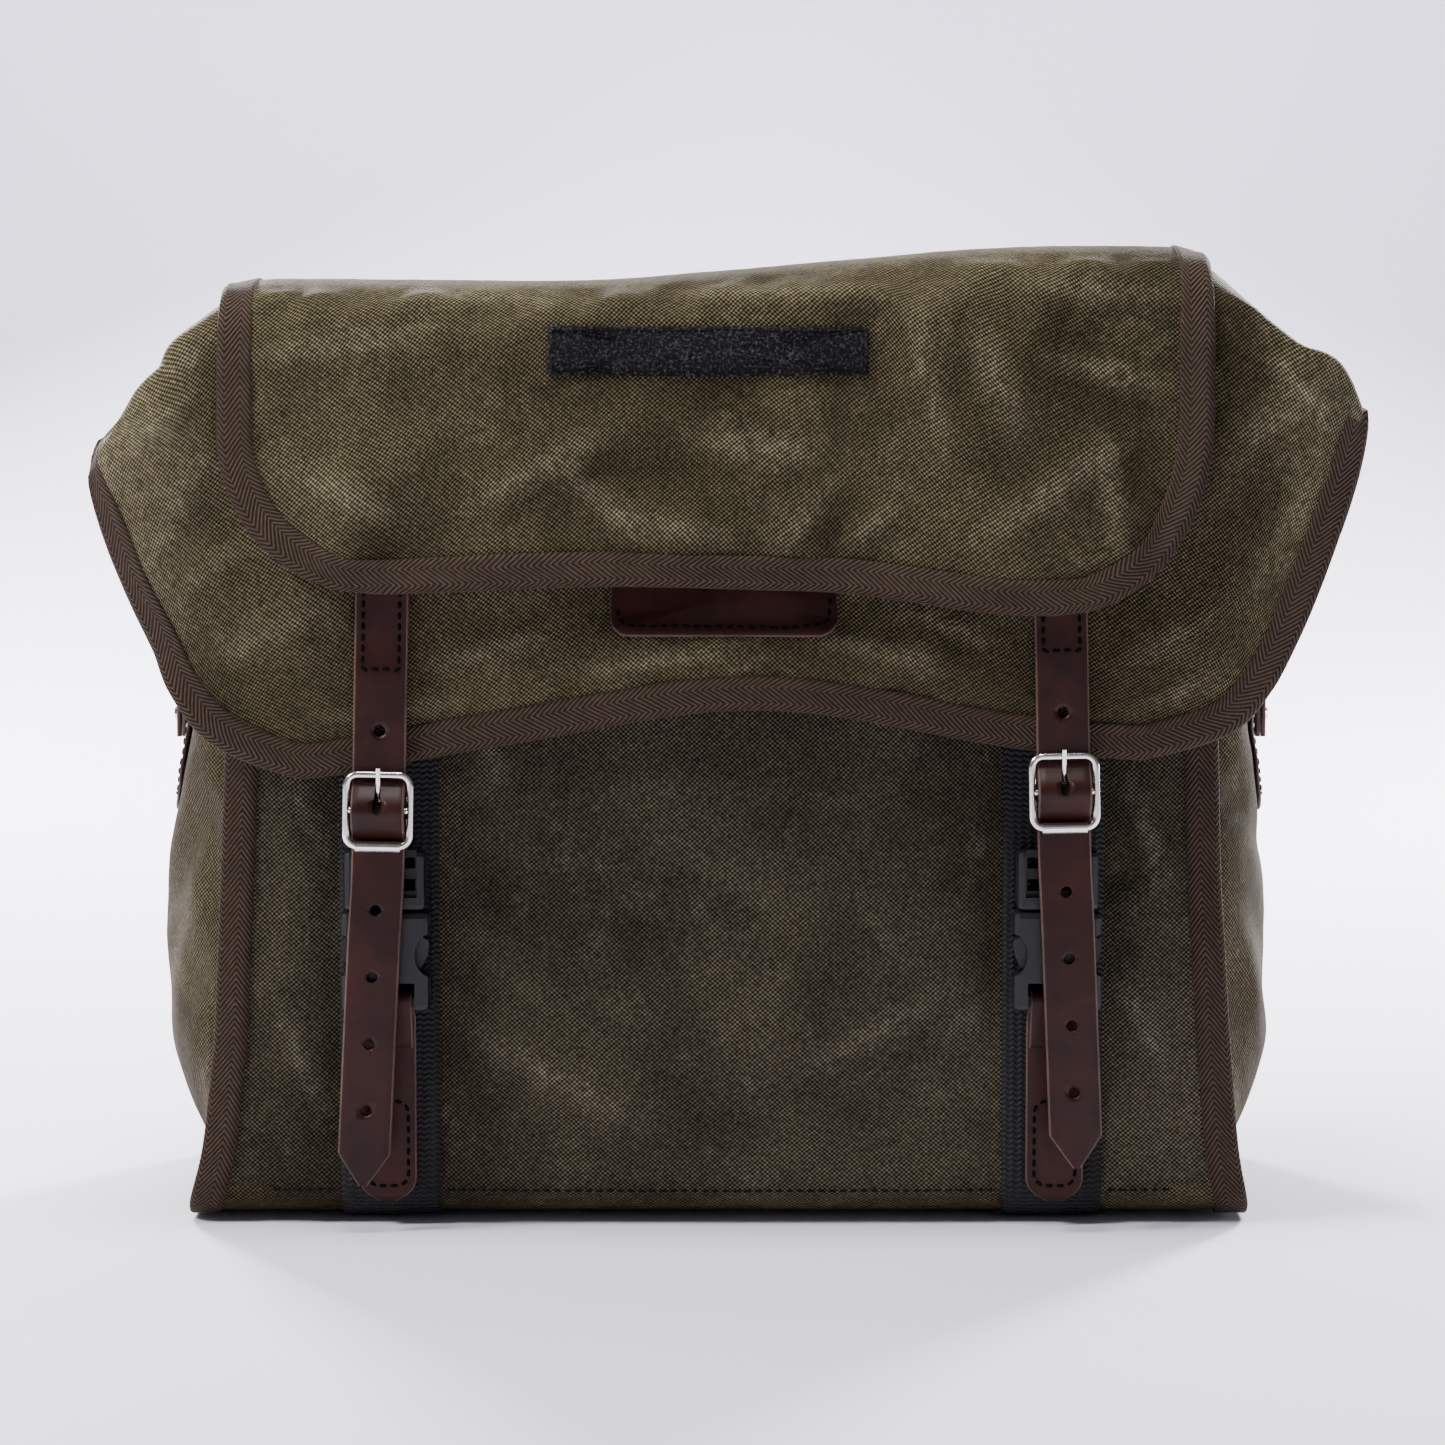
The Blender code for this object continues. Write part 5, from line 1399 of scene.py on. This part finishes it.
def make_buckles():
    """The buckle's wire frame, swept round a rounded rectangle, with a bar across its middle."""
    wire, bar, sides = 1.5, 1.25, 14
    angles = [2 * math.pi * k / sides for k in range(sides)]
    for side, name in SIDES:
        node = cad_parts[f"buckle_frame_{name}"]
        co = np.zeros(len(node.data.vertices) * 3)
        node.data.vertices.foreach_get("co", co)
        co = (co.reshape(-1, 3) @ np.array(node.matrix_world)[:3, :3].T) + np.array(node.matrix_world)[:3, 3]
        turn = Matrix.Rotation(-side * LEAN, 4, "Y")
        flat = co @ np.array(turn.inverted())[:3, :3].T
        low, high = flat.min(axis=0) / MM, flat.max(axis=0) / MM
        outline = rounded_outline(low[0] + wire, high[0] - wire, low[2] + wire, high[2] - wire, 4.2, 8)
        path = np.array(densify(outline, 2.0))
        y = low[1] + wire if high[1] - low[1] > 4.2 else (low[1] + high[1]) / 2
        tangent = np.roll(path, -1, axis=0) - np.roll(path, 1, axis=0)
        tangent /= np.linalg.norm(tangent, axis=1, keepdims=True)
        vertices = []
        for (x, z), (tx, tz) in zip(path, tangent):
            for a in angles:
                out = math.cos(a) * wire
                vertices.append((x + tz * out, y + math.sin(a) * wire * 0.92, z - tx * out))
        faces = ring_faces(len(path), sides, closed=True, flip=True) + ring_faces(2, sides, len(vertices))
        z = (low[2] + high[2]) / 2
        for x in (low[0] + wire, high[0] - wire):
            vertices += [(x, y + math.cos(a) * bar, z + math.sin(a) * bar) for a in angles]
        obj = mesh_object(f"buckle_wire_{name}", np.array(vertices) * MM, faces, [NICKEL])
        obj.matrix_world = turn
        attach(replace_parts(obj, f"buckle_frame_{name}"), f"strap_{name}")


def finish_hardware():
    """The materials of the hard parts that come from the CAD."""
    finishes = [
        (("clip_",), PLASTIC), (("buckle_link",), LEATHER),
        (("buckle_", "d_ring", "ring_rivet", "anchor_rivet"), NICKEL),
    ]
    for name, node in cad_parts.items():
        material = next((m for starts, m in finishes if name.startswith(starts)), None)
        if material is None and name.endswith("_board"):
            material = BOARD
        if material is not None:
            paint(node, material)


def paint(node, material):
    for slot_ in node.material_slots:
        slot_.material = material
    if not node.material_slots:
        node.data.materials.append(material)


# --- stage ----------------------------------------------------------------------------


SWEEP = [
    (-2.2, 0.0), (-0.6, 0.0), (0.9, 0.0), (1.5, 0.02), (1.95, 0.12), (2.25, 0.4), (2.35, 0.8), (2.38, 1.6),
    (2.38, 3.2),
]
DAYLIGHT, SKY = (1.0, 0.985, 0.96), (0.84, 0.84, 0.97)
# Each light's place and aim in metres, its size, its watts and its colour.
LIGHTS = {
    "back_left": ((-0.85, 1.75, 1.0), (0, 0, 0.15), 0.35, 105, DAYLIGHT),
    "back_right": ((1.05, 1.6, 0.95), (0, 0, 0.15), 0.35, 110, DAYLIGHT),
    "key_left": ((-1.45, -0.65, 1.6), (0, 0, 0.22), 0.5, 46, (1.0, 0.985, 0.95)),
    "overhead": ((-0.1, -0.2, 1.75), (0, -0.05, 0.25), 0.45, 32, (1.0, 0.99, 0.97)),
    "front_fill": ((0.4, -2.3, 0.7), (0, 0, 0.15), 1.2, 2, (0.96, 0.96, 1.0)),
    "side_low": ((1.6, 0.35, 0.24), (0.2, 0, 0.12), 0.3, 7, DAYLIGHT),
    "sweep_light": ((0, 0.9, 2.1), (0, 2.3, 0.8), 1.8, 40, (0.90, 0.90, 1.0)),
}
CAMERA_AIM, CAMERA_AWAY, CAMERA_UP = Vector((0.0005, -0.09, 0.193)), 1.70, math.radians(5)


def placed(name, data, place, aim):
    """Puts a light or a camera into the scene, turned towards a point."""
    obj = bpy.data.objects.new(name, data)
    bpy.context.scene.collection.objects.link(obj)
    obj.location = place
    obj.rotation_euler = (Vector(aim) - Vector(place)).to_track_quat("-Z", "Y").to_euler()
    return obj


def make_stage():
    """The floor that sweeps up into the background, the lights and the camera."""
    rows = [along([(y, z, 0) for y, z in SWEEP], t / 60) for t in range(61)]
    grid = np.array([[(x, y, z) for x in np.linspace(-4, 4, 9)] for y, z, _ in rows])
    floor = mesh_object("floor_sweep", grid.reshape(-1, 3), grid_faces(*grid.shape[:2]), [stage_material()])
    floor.location.z = -0.0004
    for name, (place, aim, size, watts, colour) in LIGHTS.items():
        data = bpy.data.lights.new(name, "AREA")
        data.shape = "RECTANGLE"
        data.size = data.size_y = size
        data.energy = watts
        data.color = colour
        placed(name, data, place, aim)
    world = bpy.data.worlds.new("studio")
    world.use_nodes = True
    background = world.node_tree.nodes["Background"]
    background.inputs["Color"].default_value = (*SKY, 1)
    background.inputs["Strength"].default_value = 0.16
    bpy.context.scene.world = world
    camera = bpy.data.cameras.new("camera")
    camera.lens = 113
    camera.sensor_width = 36
    camera.clip_start = 0.05
    away = Vector((0, -math.cos(CAMERA_UP), math.sin(CAMERA_UP))) * CAMERA_AWAY
    bpy.context.scene.camera = placed("camera", camera, CAMERA_AIM + away, CAMERA_AIM)


make_stage()
make_body()
seam_tapes()
make_webbing()
make_lid()
make_overflap()
make_straps()
make_tabs()
make_buckles()
make_clips()
make_side_leather()
hem_stitches()
finish_hardware()
